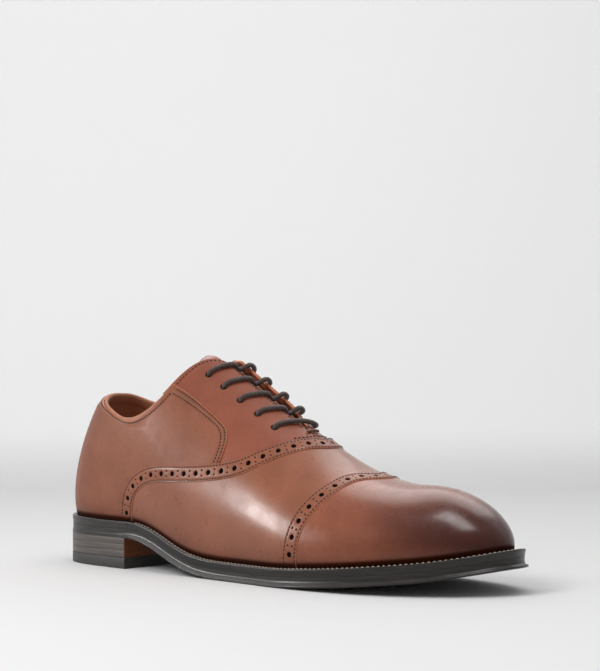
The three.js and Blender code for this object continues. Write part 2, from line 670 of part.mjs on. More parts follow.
// heel: top piece and lifts, drilled for the nails
function heelShape() {
  const shape = new THREE.Shape();
  const points = [];
  for (const side of [-1, 1]) {
    const run = [];
    for (let i = 0; i <= 12; i++) {
      const p = soleEdge(side, WELT_JOINT * i / 12, 0.3);
      if (p[0] < HEEL_LENGTH - 0.5) run.push(p);
    }
    const y = soleEdge(side, WELT_JOINT * 0.98, 0.3)[1];
    run.push([HEEL_LENGTH, y]);
    points.push(...(side < 0 ? run.reverse() : run.slice(1)));
  }
  shape.setFromPoints(points.map((p) => new THREE.Vector2(...p)));
  for (const [x, y] of NAILS) {
    const hole = new THREE.Path();
    hole.absarc(x, y, 1.25, 0, 2 * Math.PI, false);
    shape.holes.push(hole);
  }
  return shape;
}
function heelLayer(z0, z1) {
  const g = new THREE.ExtrudeGeometry(heelShape(), { depth: z1 - z0, bevelEnabled: false, curveSegments: 4 });
  g.translate(0, 0, z0);
  g.deleteAttribute('normal');
  g.deleteAttribute('uv');
  const merged = mergeVertices(g, 1e-3);
  return solid(pointsOf(merged), triangles(merged));
}
place('top_piece', heelLayer(0, TOP_PIECE), '#2a2726', 0.7);
const liftSpan = (HEEL_SEAT_Z - TOP_PIECE - GAP) / LIFTS;
for (let i = 0; i < LIFTS; i++) {
  const z0 = TOP_PIECE + GAP + i * liftSpan;
  place(`heel_lift_${i + 1}`, heelLayer(z0, z0 + liftSpan - GAP), '#4a3a32', 0.5);
}
NAILS.forEach(([x, y], i) => {
  const g = new THREE.CylinderGeometry(0.9, 0.9, HEEL_SEAT_Z - 1.6, 8);
  g.rotateX(Math.PI / 2);
  g.translate(x, y, (HEEL_SEAT_Z + 0.4) / 2);
  g.deleteAttribute('normal');
  g.deleteAttribute('uv');
  const merged = mergeVertices(g, 1e-3);
  place(`heel_nail_${i + 1}`, solid(pointsOf(merged), triangles(merged)), '#9a9da0', 0.4, 0.9);
});

// bring the middle of the footprint to the origin
group.updateMatrixWorld(true);
const box = new THREE.Box3().setFromObject(group);
for (const mesh of group.children) {
  mesh.geometry.translate(-(box.min.x + box.max.x) / 2, -(box.min.y + box.max.y) / 2, -box.min.z);
}

export default group;
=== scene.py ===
"""Leather oxford shoe: fine leather, thread, lace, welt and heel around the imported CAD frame.

Everything above the sole lies on one foot form, as in the CAD: q runs along the sole edge from the
back of the heel (0) to the toe (1), w runs over the foot from the outer feather edge (-1) across the
instep ridge (0) to the inner feather edge (1), and a height stands off the form. Lengths are in
millimetres in the form's own frame (heel back at x 0) until mesh_piece() puts them in the row frame.
"""

import math

import bmesh
import bpy
import numpy as np
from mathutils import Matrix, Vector
from mathutils.geometry import delaunay_2d_cdt


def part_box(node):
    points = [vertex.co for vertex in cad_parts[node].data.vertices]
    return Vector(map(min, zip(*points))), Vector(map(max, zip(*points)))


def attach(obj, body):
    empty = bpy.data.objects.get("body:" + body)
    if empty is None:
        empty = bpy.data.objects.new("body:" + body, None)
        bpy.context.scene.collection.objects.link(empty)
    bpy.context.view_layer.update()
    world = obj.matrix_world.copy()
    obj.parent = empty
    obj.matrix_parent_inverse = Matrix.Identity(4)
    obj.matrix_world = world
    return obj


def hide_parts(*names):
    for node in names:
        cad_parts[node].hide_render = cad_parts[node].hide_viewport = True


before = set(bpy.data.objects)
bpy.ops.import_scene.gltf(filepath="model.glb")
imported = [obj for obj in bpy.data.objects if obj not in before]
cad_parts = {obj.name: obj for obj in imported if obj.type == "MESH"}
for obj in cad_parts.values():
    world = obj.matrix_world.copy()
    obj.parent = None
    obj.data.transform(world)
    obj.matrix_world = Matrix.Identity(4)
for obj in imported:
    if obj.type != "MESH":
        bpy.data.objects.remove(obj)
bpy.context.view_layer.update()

# ---- driving dimensions, millimetres ----
SHOE_LENGTH = 300
HEEL_SEAT_Z = 17.6
HEEL_LENGTH = 70
OUTSOLE = 5.2
WELT_TOP = 9.2
GAP = 0.3
TOP_PIECE = 6.4
LIFTS = 3
LIFT_SEAM = 0.08
INSOLE = 2.5
SOCK = 1.4
LINING = (0.0, 1.0)
FACING = (2.2, 3.6)
VAMP = (2.2, 4.5)
QUARTER = (3.5, 4.6)
CAP = (3.5, 4.6)
BAND = (4.62, 5.2)
BAND_HALF = 4.3
LAP = 0.022
EYELETS = (0.425, 0.46, 0.495, 0.53, 0.565)
EYELET_W = 0.222
EYELET_R = 2.1
LACE_R = 1.4
GAP_TOP = 0.446
WELT_JOINT = 0.262
RAND_GAP = 0.0008

OUTER_EDGE = (
    (0, 0), (3.5, -13), (12, -23.5), (28, -31), (50, -34.6), (71, -36.5), (90, -38), (110, -39.8),
    (135, -41.8), (165, -44.8), (193, -48.5), (217, -49.2), (241, -46.2), (263, -38.5), (281, -27.5),
    (293, -15), (299, -3), (300, 4),
)
INNER_EDGE = (
    (0, 0), (3.5, 13), (12, 23.5), (28, 30.5), (50, 33.5), (71, 33.5), (100, 31.8), (125, 32.8),
    (150, 38), (173, 45), (195, 50), (217, 51), (241, 47.8), (263, 41), (281, 32), (293, 22),
    (298.5, 12.5), (300, 4),
)
SOLE_RISE = (
    (68, 17.6), (80, 16.8), (94, 13.2), (113, 5.8), (130, 1.5), (146, 0.2), (165, 0), (185, 0),
    (205, 1), (225, 2.4), (250, 4.8), (275, 7.8), (300, 13),
)
RIDGE = (
    (22, 88), (34, 105), (48, 118), (66, 126), (88, 127), (106, 122.5), (122, 112.5), (140, 100),
    (157, 88), (173.5, 75.5), (190, 63.8), (205, 55.4), (222, 50), (240, 47), (256, 46.3), (270, 43),
)
# q, x on the ridge, feather inset, side wall reach and lean, reach and droop of the top, turn of the top
SECTIONS = (
    (0, 37, 8.5, 24, 66, 12, 0, -90),
    (0.06, 39, 7.9, 26.5, 72, 16.5, 0, -50),
    (0.14, 46.5, 6.9, 34, 81.5, 23.5, 0, -14),
    (0.28, 72, 6.5, 42, 84, 29, 0, 0),
    (0.375, 99, 7, 41, 80, 24, 8, 0),
    (0.46, 124, 8, 36, 76, 20.5, 14, 0),
    (0.55, 155, 8.5, 29, 74, 20, 12, 0),
    (0.635, 181, 8.5, 23.5, 73, 21.5, 5, 0),
    (0.705, 202, 8.5, 21.5, 72, 23.5, 0, 2),
    (0.78, 222, 8.6, 19.5, 71, 24.5, 0, 8),
    (0.85, 239.5, 9.3, 17, 70.5, 22, 0, 22),
    (0.91, 252, 10, 14, 70, 19.5, 0, 44),
    (0.96, 259.5, 10.5, 10.6, 70, 16.3, 0, 68),
    (1, 263, 10.8, 8, 70, 14.2, 0, 90),
)


# ---- curves ----
def cubic(knots, values, start=None, end=None):
    """Cubic spline through points; the end slopes are free where they are not given."""
    x, y = np.asarray(knots, float), np.asarray(values, float)
    n, h = len(x), np.diff(x)
    slope = np.diff(y) / h
    left = np.eye(n)
    right = np.zeros(n)
    for i in range(1, n - 1):
        left[i, i - 1 : i + 2] = h[i - 1], 2 * (h[i - 1] + h[i]), h[i]
        right[i] = 6 * (slope[i] - slope[i - 1])
    if start is not None:
        left[0, :2] = 2 * h[0], h[0]
        right[0] = 6 * (slope[0] - start)
    if end is not None:
        left[-1, -2:] = h[-1], 2 * h[-1]
        right[-1] = 6 * (end - slope[-1])
    bend = np.linalg.solve(left, right)

    def at(t):
        t = np.clip(t, x[0], x[-1])
        i = np.clip(np.searchsorted(x, t, side="right") - 1, 0, n - 2)
        d = h[i]
        p = (x[i + 1] - t) / d
        s = 1 - p
        return p * y[i] + s * y[i + 1] + ((p**3 - p) * bend[i] + (s**3 - s) * bend[i + 1]) * d * d / 6

    return at


def through(points, start=None, end=None):
    return cubic([p[0] for p in points], [p[1] for p in points], start, end)


def smooth(x, low=0.0, high=1.0):
    t = np.clip((np.asarray(x, float) - low) / (high - low), 0, 1)
    return t * t * (3 - 2 * t)


def mix(a, b, t):
    return a + (b - a) * t


def unit(v):
    return v / np.maximum(np.linalg.norm(v, axis=-1, keepdims=True), 1e-12)


def run_length(points):
    """Length along a line of points, from its start to each point."""
    return np.r_[0, np.cumsum(np.linalg.norm(np.diff(points, axis=0), axis=1))]


def picked(at, length, points):
    """Points at given lengths along a line."""
    return np.stack([np.interp(at, length, points[:, k]) for k in range(points.shape[1])], -1)


# ---- the foot form ----
sole_rise = through(SOLE_RISE, 0, 0.24)
ridge_z = through(RIDGE)
stations = list(zip(*SECTIONS))
section = [cubic(stations[0], row, 0, 0) for row in stations[1:]]


def sole_z(x):
    return np.maximum(0, sole_rise(x))


def ridge_y(x):
    return 5 * smooth(x, 120, 305)


def traced(points, side):
    """One side of the sole outline as even samples along its length: lengths, x, y."""
    p = np.array(points, float)
    along = run_length(p)
    s = np.linspace(0, along[-1], 1501)
    x, y = cubic(along, p[:, 0], 0, 0)(s), cubic(along, p[:, 1], side, -side)(s)
    return run_length(np.stack([x, y], -1)), x, y


edges = {-1: traced(OUTER_EDGE, -1), 1: traced(INNER_EDGE, 1)}


def sole_edge(side, q, inset=0.0):
    """Point on the sole edge of one side, moved inwards by inset."""
    length, x, y = edges[side]
    q = np.asarray(q, float)

    def at(t):
        s = np.clip(t, 0, 1) * length[-1]
        return np.interp(s, length, x), np.interp(s, length, y)

    (px, py), (ax, ay), (bx, by) = at(q), at(q - 0.004), at(q + 0.004)
    run = np.hypot(bx - ax, by - ay)
    heel, toe = np.clip(q / 0.01, 0, 1), np.clip((1 - q) / 0.01, 0, 1)
    nx = side * (ay - by) / run * np.minimum(heel, toe) - (1 - heel) + (1 - toe)
    ny = side * (bx - ax) / run * np.minimum(heel, toe)
    m = np.hypot(nx, ny)
    return px - inset * nx / m, py - inset * ny / m


def half_form(side, q, w):
    """The form on one side; q and w are flat arrays."""
    top, inset, rise, lean, span, crest, turn = [f(q) for f in section]
    lean, crest, turn = np.radians(lean), np.radians(crest), np.radians(turn)
    ex, ey = sole_edge(side, q)
    bx, by = sole_edge(side, q, inset)
    nx, ny = (ex - bx) / inset, (ey - by) / inset
    foot = np.stack([bx, by, sole_z(bx) + WELT_TOP + GAP], -1)
    wall = np.stack([nx * np.cos(lean), ny * np.cos(lean), np.sin(lean)], -1) * rise[:, None]
    crown = np.stack([top, ridge_y(top), ridge_z(top)], -1)
    forward = unit(np.stack([np.ones_like(top), 0 * top, ridge_z(top + 0.5) - ridge_z(top - 0.5)], -1))
    out = np.stack([0 * top, side * np.cos(crest), -np.sin(crest)], -1)
    reach = out * np.cos(turn)[:, None] + forward * np.sin(turn)[:, None]
    t = 1 - np.abs(w)[:, None]
    near_top = crown + reach * span[:, None]
    near_foot = foot + wall
    r = 1 - t
    return r**3 * foot + 3 * r * r * t * near_foot + 3 * r * t * t * near_top + t**3 * crown


def form(q, w):
    q, w = np.broadcast_arrays(np.asarray(q, float), np.asarray(w, float))
    points = np.zeros(q.shape + (3,))
    for side in (-1, 1):
        mask = (w < 0) if side < 0 else (w >= 0)
        if mask.any():
            points[mask] = half_form(side, np.clip(q[mask], 0, 1), w[mask])
    return points


def at_end(q):
    return (q < 1e-6) | (q > 1 - 1e-6)


def normal(q, w):
    e = 0.003
    q, w = np.broadcast_arrays(np.asarray(q, float), np.asarray(w, float))
    side = np.where((w < 0) | at_end(q), -1, 1)
    v = np.where((q < e) | (q > 1 - e), side * np.maximum(np.abs(w), e), w)
    along = form(np.minimum(1, q + e), v) - form(np.maximum(0, q - e), v)
    over = form(q, np.minimum(1, v + e)) - form(q, np.maximum(-1, v - e))
    return unit(np.cross(along, over))


def lifted(q, w, height):
    q, w, height = np.broadcast_arrays(*[np.asarray(a, float) for a in (q, w, height)])
    v = np.where(at_end(q), -np.abs(w), w)
    return form(q, v) + normal(q, v) * height[..., None]


SHARE_Q = np.linspace(0, 1, 161)
SHARE_HEIGHT = np.linspace(-0.5, 7, 9)


def foot_shares(side):
    """How far down w each height reaches before it meets the top of the welt."""
    q, height = np.meshgrid(SHARE_Q, SHARE_HEIGHT, indexing="ij")
    low, high = np.full(q.shape, 0.8), np.ones(q.shape)
    for _ in range(12):
        middle = (low + high) / 2
        p = lifted(q, side * middle, height)
        clear = p[..., 2] - sole_z(p[..., 0]) > WELT_TOP + 2 * GAP
        low, high = np.where(clear, middle, low), np.where(clear, high, middle)
    return low


shares = np.stack([foot_shares(-1), foot_shares(1)])


def foot_share(q, side, height):
    """Reads foot_shares between its table points."""
    i = np.clip(q * (len(SHARE_Q) - 1), 0, len(SHARE_Q) - 1.001)
    step = SHARE_HEIGHT[1] - SHARE_HEIGHT[0]
    j = np.clip((height - SHARE_HEIGHT[0]) / step, 0, len(SHARE_HEIGHT) - 1.001)
    i0, j0 = i.astype(int), j.astype(int)
    a, b = i - i0, j - j0
    k = np.where(side < 0, 0, 1)
    low = mix(shares[k, i0, j0], shares[k, i0 + 1, j0], a)
    high = mix(shares[k, i0, j0 + 1], shares[k, i0 + 1, j0 + 1], a)
    return mix(low, high, b)


def on_form(q, w, height):
    """Point at a height above the form; layers near the feather end level with the welt."""
    q, w, height = np.broadcast_arrays(*[np.asarray(a, float) for a in (q, w, height)])
    side = np.where(w < 0, -1, 1)
    a = np.abs(w)
    pull = np.clip((a - 0.75) / 0.25, 0, 1) ** 2
    a = a - np.where(height > -0.5, (1 - foot_share(q, side, height)) * pull, 0)
    return lifted(q, side * a, height)


# ---- seam lines ----
vamp_line = cubic(
    (0, 0.11, 0.31, 0.472, 0.592, 0.674, 0.742, 0.83, 0.91, 1),
    (0.645, 0.636, 0.6, 0.552, 0.495, 0.42, 0.35, 0.285, 0.262, 0.258),
    0,
)
cap_line = cubic((0, 0.16, 0.38, 0.58, 0.8, 1), (0.77, 0.747, 0.713, 0.678, 0.645, 0.634), 0)
top_line = cubic(
    (0, 0.05, 0.109, 0.15, 0.197, 0.25, 0.29, 0.34, 0.385, 0.43, 0.447),
    (0.195, 0.215, 0.335, 0.42, 0.505, 0.562, 0.54, 0.42, 0.235, 0.08, 0.052),
    0,
)
gap_edge = cubic((GAP_TOP, 0.5, 0.57, 0.592, 0.604, 0.64), (0.053, 0.058, 0.052, 0.038, 0.013, 0.012), 0, 0)
FAR_BACK = 0.022
FAR_CURL = 2.0
SEAM_KNOTS = (0, 0.25, 0.5, 0.62, 0.8, 1)
seam_q = cubic(SEAM_KNOTS, (0.476, 0.487, 0.49, 0.484, 0.44, 0.36))
seam_w = cubic(SEAM_KNOTS, (0.61, 0.52, 0.445, 0.41, 0.385, 0.365))


def lining_line(a):
    return 0.62 - 0.11 * a * a


def coons(bottom, top, left, right):
    """Patch between four boundary lines, each a function of 0..1 giving (q, w)."""
    zero, one = np.zeros(1), np.ones(1)

    def at(u, v):
        rows = []
        for k in (0, 1):
            ruled = mix(bottom(u)[k], top(u)[k], v) + mix(left(v)[k], right(v)[k], u)
            low = mix(bottom(zero)[k], bottom(one)[k], u)
            high = mix(top(zero)[k], top(one)[k], u)
            rows.append(ruled - mix(low, high, v))
        return rows

    return at


def quarter_shape(side):
    def feather(u):
        a, b = np.clip(2 * u, 0, 1), np.clip(2 * u - 1, 0, 1)
        w = mix(1, 0.61, b)
        return np.where(u < 0.5, mix(0.0012, 0.268, a), vamp_line(w) + 0.01 * (1 - b)), side * w

    def rim(u):
        q = mix(0.0012, 0.36, u)
        return q, side * top_line(q)

    def back(v):
        return 0.0012 + 0 * v, side * mix(1, top_line(0), v)

    return coons(feather, rim, back, lambda v: (seam_q(v), side * seam_w(v)))


def gap_side(q, side):
    """Edge of the lacing gap: the inner facing stands further back from the ridge than the outer."""
    back = FAR_BACK * smooth(q, GAP_TOP, 0.47) * (1 - smooth(q, 0.555, 0.6))
    return gap_edge(q) + (back if side > 0 else 0)


def facing_shape(side):
    def under_band(u):
        w = mix(0.63, 0.012, u)
        return vamp_line(w) - 0.005 - 0.02 * (1 - u), side * w

    def rim(u):
        q = mix(0.36 - LAP, GAP_TOP, u)
        return q, side * top_line(q)

    def under_quarter(v):
        w = mix(0.63, top_line(0.36 - LAP), v) + 0.1 * v * (v - 1)
        return seam_q(v) - LAP, side * w

    def gap(v):
        q = mix(0.64, GAP_TOP, v)
        return q, side * gap_side(q, side)

    return coons(under_band, rim, under_quarter, gap)


def lining_shape(side):
    def at(u, v):
        q = mix(0.002, 0.6, u)
        top = np.where(q < GAP_TOP, top_line(q), gap_side(np.minimum(q, 0.585), side) + 0.004)
        w = mix(1, top, v)
        return q + (lining_line(w) - 0.605) * u**4, side * w

    return at


# ---- meshes ----
sole_lo, sole_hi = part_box("outsole")
METRE = (sole_hi.x - sole_lo.x) / SHOE_LENGTH
outline_y = min(edges[-1][2].min(), edges[1][2].min())
ORIGIN = np.array([-sole_lo.x / METRE, outline_y - sole_lo.y / METRE, 0.0])


def placed(name, data):
    made = bpy.data.objects.new(name, data)
    bpy.context.scene.collection.objects.link(made)
    return made


def mesh_piece(name, points, faces, material, body="shoe", stands_for=(), slot=None, paint=None):
    """A named mesh that rides on a CAD body. Points are millimetres in the form's frame."""
    points = np.asarray(points, float).reshape(-1, 3)
    mesh = bpy.data.meshes.new(name)
    mesh.from_pydata(((points - ORIGIN) * METRE).tolist(), [], [tuple(f) for f in faces])
    mesh.update()
    for key, values in (paint or {}).items():
        attribute = mesh.attributes.new(key, "FLOAT", "POINT")
        attribute.data.foreach_set("value", np.broadcast_to(values, len(points)).astype(np.float32).ravel())
    mesh.polygons.foreach_set("use_smooth", np.ones(len(mesh.polygons), bool))
    mesh.materials.append(material)
    piece = placed(name, mesh)
    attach(piece, body)
    if stands_for:
        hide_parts(*stands_for)
    return piece


def clean(piece, crease=40, merge=1e-6):
    """Merges doubled points, points every face outwards and keeps folds over crease degrees sharp."""
    mesh = piece.data
    b = bmesh.new()
    b.from_mesh(mesh)
    bmesh.ops.remove_doubles(b, verts=b.verts, dist=merge)
    bmesh.ops.dissolve_degenerate(b, edges=b.edges, dist=merge / 10)
    bmesh.ops.recalc_face_normals(b, faces=b.faces)
    if b.calc_volume(signed=True) < 0:
        bmesh.ops.reverse_faces(b, faces=b.faces)
    limit = math.radians(crease)
    for edge in b.edges:
        edge.smooth = len(edge.link_faces) == 2 and edge.calc_face_angle(0) < limit
    b.to_mesh(mesh)
    b.free()
    return piece


def quads(index):
    return np.stack([index[:-1, :-1], index[1:, :-1], index[1:, 1:], index[:-1, 1:]], -1).reshape(-1, 4)


def tube_faces(rings, sides, capped=True, first=0):
    """Faces of a tube whose points run round each ring in turn, numbered from first."""
    index = np.arange(rings * sides).reshape(rings, sides) + first
    faces = [tuple(f) for f in quads(np.concatenate([index, index[:, :1]], 1))]
    return faces + ([tuple(index[0]), tuple(index[-1][::-1])] if capped else [])


def closed_shell(outer, inner, fold=False):
    """Points and faces of the body between two grids; fold leaves the last row open to close on itself."""
    nu, nv = outer.shape[:2]
    n = nu * nv
    index = np.arange(n).reshape(nu, nv)
    sides = [index[:, 0], index[:, -1][::-1], index[0][::-1]] + ([] if fold else [index[-1]])
    rims = [np.stack([s[:-1], s[1:], s[1:] + n, s[:-1] + n], -1) for s in sides]
    faces = np.concatenate([quads(index), quads(index)[:, ::-1] + n] + rims)
    return np.concatenate([outer.reshape(-1, 3), inner.reshape(-1, 3)]), faces


def spread(length, count, start, end):
    """Fractions 0..1 along lines of the given lengths: fixed distances near both ends, even between."""
    length = np.asarray(length, float)[:, None]
    head = np.array(start, float)[None] / length
    tail = 1 - np.array(end, float)[None, ::-1] / length
    between = mix(head[:, -1:], tail[:, :1], np.linspace(0, 1, count)[None, 1:-1])
    return np.concatenate([head, between, tail], 1)


def line_lengths(shape, fixed, along_u):
    a, b = np.meshgrid(fixed, np.linspace(0, 1, 25), indexing="ij")
    q, w = shape(b, a) if along_u else shape(a, b)
    return np.linalg.norm(np.diff(form(q, w), axis=1), axis=-1).sum(1)


def patch(shape, nu, nv, u_ends, v_ends):
    """q, w over a patch, and each node's distance from the sides u0, u1, v0 and v1."""
    v0 = spread(line_lengths(shape, [0.5], False), nv, *v_ends)[0]
    u0 = spread(line_lengths(shape, [0.5], True), nu, *u_ends)[0]
    length_u, length_v = line_lengths(shape, v0, True), line_lengths(shape, u0, False)
    u, v = spread(length_u, nu, *u_ends).T, spread(length_v, nv, *v_ends)
    q, w = shape(u, v)
    length_v = length_v[:, None]
    near = {"u0": u * length_u, "u1": (1 - u) * length_u, "v0": v * length_v, "v1": (1 - v) * length_v}
    return q, w, near


def edge_row(shape, side, distance, start=0.0, end=1.0, count=240):
    """Line across a patch at a distance from one of its sides, as q and w."""
    t = np.linspace(start, end, count)
    share = distance / line_lengths(shape, t, side[0] == "u")
    share = 1 - share if side[1] == "1" else share
    return shape(share, t) if side[0] == "u" else shape(t, share)


EDGE_STEPS = (0, 0.07, 0.17, 0.3, 0.5)
EDGE_RADIUS = 0.5
STITCH_SINK = 0.22


def rounded(distance, radius=EDGE_RADIUS):
    """How far a rounded leather edge drops at a distance from the edge."""
    x = np.clip(distance / radius, 0, 1)
    return radius * (1 - np.sqrt(1 - (1 - x) ** 2))


def furrow(distance, row, depth=STITCH_SINK, width=0.45):
    return depth * np.exp(-(((distance - row) / width) ** 2))


def steps(rows):
    marks = set(EDGE_STEPS) | {row + d for row in rows for d in (-0.6, -0.3, 0, 0.3, 0.6)}
    return tuple(sorted(m for m in marks if m == 0 or m > 0.05))


def sheet(name, shape, count, span, material, finished=None, paint=None, fold=False, relief=None, **keys):
    """Leather laid on the form. finished gives each visible side's stitch rows, as {"u1": (1.1, 3.1)}."""
    finished = finished or {}
    ends = {s: steps(finished[s]) if s in finished else (0,) for s in ("u0", "u1", "v0", "v1")}
    q, w, near = patch(shape, *count, (ends["u0"], ends["u1"]), (ends["v0"], ends["v1"]))
    top = np.full(q.shape, float(span[1]))
    raw = np.zeros(q.shape)
    for side, rows in finished.items():
        top = top - rounded(near[side])
        for row in rows:
            top = top - furrow(near[side], row)
        raw = np.maximum(raw, 1 - smooth(near[side], 0.05, 0.3))
    if relief is not None:
        top = top + relief(q, w, near)
    low = span[0](q, w, near) if callable(span[0]) else span[0]
    outer, inner = on_form(q, w, top), on_form(q, w, low)
    points, faces = closed_shell(outer, inner, fold)
    values = {"raw": np.r_[raw.ravel(), raw.ravel()]}
    for key, f in (paint or {}).items():
        field = np.broadcast_to(f(q, w, outer, near), q.shape).ravel()
        values[key] = np.r_[field, field]
    return clean(mesh_piece(name, points, faces, material, paint=values, **keys))


# ---- thread ----
def line_frames(q, w, height):
    """Arc length, points, directions and surface normals along a line on the form."""
    p = on_form(q, w, height)
    n = normal(q, w)
    run = unit(np.gradient(p, axis=0))
    return run_length(p), p, run, n


def row_of_stitches(q, w, height, pitch=2.3, length=1.6, lean=0.0):
    """Centres, directions and normals of the stitches along a line."""
    s, p, run, n = line_frames(q, w, height)
    count = max(1, int(round(s[-1] / pitch)))
    at = (np.arange(count) + 0.5) * s[-1] / count
    centre, run, n = [picked(at, s, a) for a in (p, run, n)]
    across = unit(np.cross(n, run))
    run = unit(run + lean * across)
    return [centre, run, unit(n), np.full(count, length)]


def joined(rows):
    return [np.concatenate([r[k] for r in rows]) for k in range(4)]


def thread_piece(name, stitches, material, radius=0.27, **keys):
    """Each stitch is a short waxed strand that rises out of one needle hole and dips into the next."""
    centre, run, up, length = stitches
    side = np.cross(up, run)
    spans, sides = 7, 7
    s = np.sin(np.linspace(-math.pi / 2, math.pi / 2, spans))
    rise = radius * (1.1 - 2.1 * np.abs(s) ** 3)
    fat = radius * np.sqrt(np.clip(1.02 - s**6, 0.02, 1)) * (1 + 0.1 * np.cos(7 * s))
    angle = 2 * math.pi * np.arange(sides) / sides
    a = np.broadcast_to(s[:, None], (spans, sides))
    b = fat[:, None] * np.cos(angle)
    c = rise[:, None] + fat[:, None] * np.sin(angle)
    local = np.stack([a, b, c], -1).reshape(-1, 3)
    count = len(centre)
    points = (
        centre[:, None]
        + run[:, None] * local[None, :, :1] * length[:, None, None] / 2
        + side[:, None] * local[None, :, 1:2]
        + up[:, None] * local[None, :, 2:]
    )
    faces = [f for n in range(count) for f in tube_faces(spans, sides, first=n * spans * sides)]
    return clean(mesh_piece(name, points, faces, material, **keys), crease=70)


# ---- brogued bands ----
HOLE_R = 1.4
PINHOLE_R = 0.5
PINHOLE_OFF = 1.4
BAND_ROW = 0.85


def strip_map(line, count=1600):
    """Turns distance along a seam line and distance across it into q and w."""
    w0 = np.linspace(-1, 1, count)
    q0 = line(np.abs(w0))
    e = 0.002
    dq = (form(q0 + e, w0) - form(q0 - e, w0)) / (2 * e)
    up, down = np.minimum(w0 + e, 1), np.maximum(w0 - e, -1)
    dw = (form(q0, up) - form(q0, down)) / (up - down)[:, None]
    slope = np.gradient(q0, w0)
    run = dq * slope[:, None] + dw
    across = unit(np.cross(normal(q0, w0), run))
    g, h, k = (dq * dq).sum(1), (dq * dw).sum(1), (dw * dw).sum(1)
    r, s = (across * dq).sum(1), (across * dw).sum(1)
    det = g * k - h * h
    reach_q, reach_w = (r * k - s * h) / det, (s * g - r * h) / det
    p = on_form(q0, w0, BAND[1])
    length = run_length(p)

    def at(along, off):
        pick = [np.interp(along, length, a) for a in (q0, w0, reach_q, reach_w)]
        return pick[0] + off * pick[2], np.clip(pick[1] + off * pick[3], -1, 1)

    return at, length[-1], lambda w: np.interp(w, w0, length)


def across_marks():
    """Distances across a band: close together at its rounded edges and stitch rows."""
    half = sorted({BAND_HALF - d for d in steps((BAND_ROW,))} | {2.5, 1.9, 1.3, 0.7, 0})
    return np.array(sorted({-t for t in half} | set(half)))


def brogue_cell(width, holes):
    """One cell of the punched band as triangles in (along, across); a hole is (across, radius, sides)."""
    columns = np.linspace(-width / 2, width / 2, 8)
    points = [(x, y) for x in columns for y in across_marks()]
    points = [p for p in points if all(math.hypot(p[0], p[1] - y) > r + 0.42 for y, r, _ in holes)]
    links = []
    for y, r, n in holes:
        for grow in (0, 0.1, 0.26):
            first = len(points)
            for k in range(n):
                turn = 2 * math.pi * (k + 0.5 * (grow == 0.1)) / n
                points.append(((r + grow) * math.cos(turn), y + (r + grow) * math.sin(turn)))
            if grow == 0:
                links += [(first + k, first + (k + 1) % n) for k in range(n)]
        points.append((0, y))
    made = delaunay_2d_cdt([Vector(p) for p in points], links, [], 0, 1e-5)
    flat = np.array([tuple(p) for p in made[0]])
    triangles = np.array([f for f in made[2]])
    middle = flat[triangles].mean(1)
    inside = np.zeros(len(triangles), bool)
    for y, r, n in holes:
        inside |= np.hypot(middle[:, 0], middle[:, 1] - y) < r * math.cos(math.pi / n)
    return flat, triangles, inside


def band_plan(count, last, length_at):
    """Width of a cell so that count big holes a side end at w = last, and the cells' first edge."""
    middle = length_at(0.0)
    width = (middle - length_at(-last)) / (2 * count - 1)
    return width, middle - (2 * count - 0.5) * width


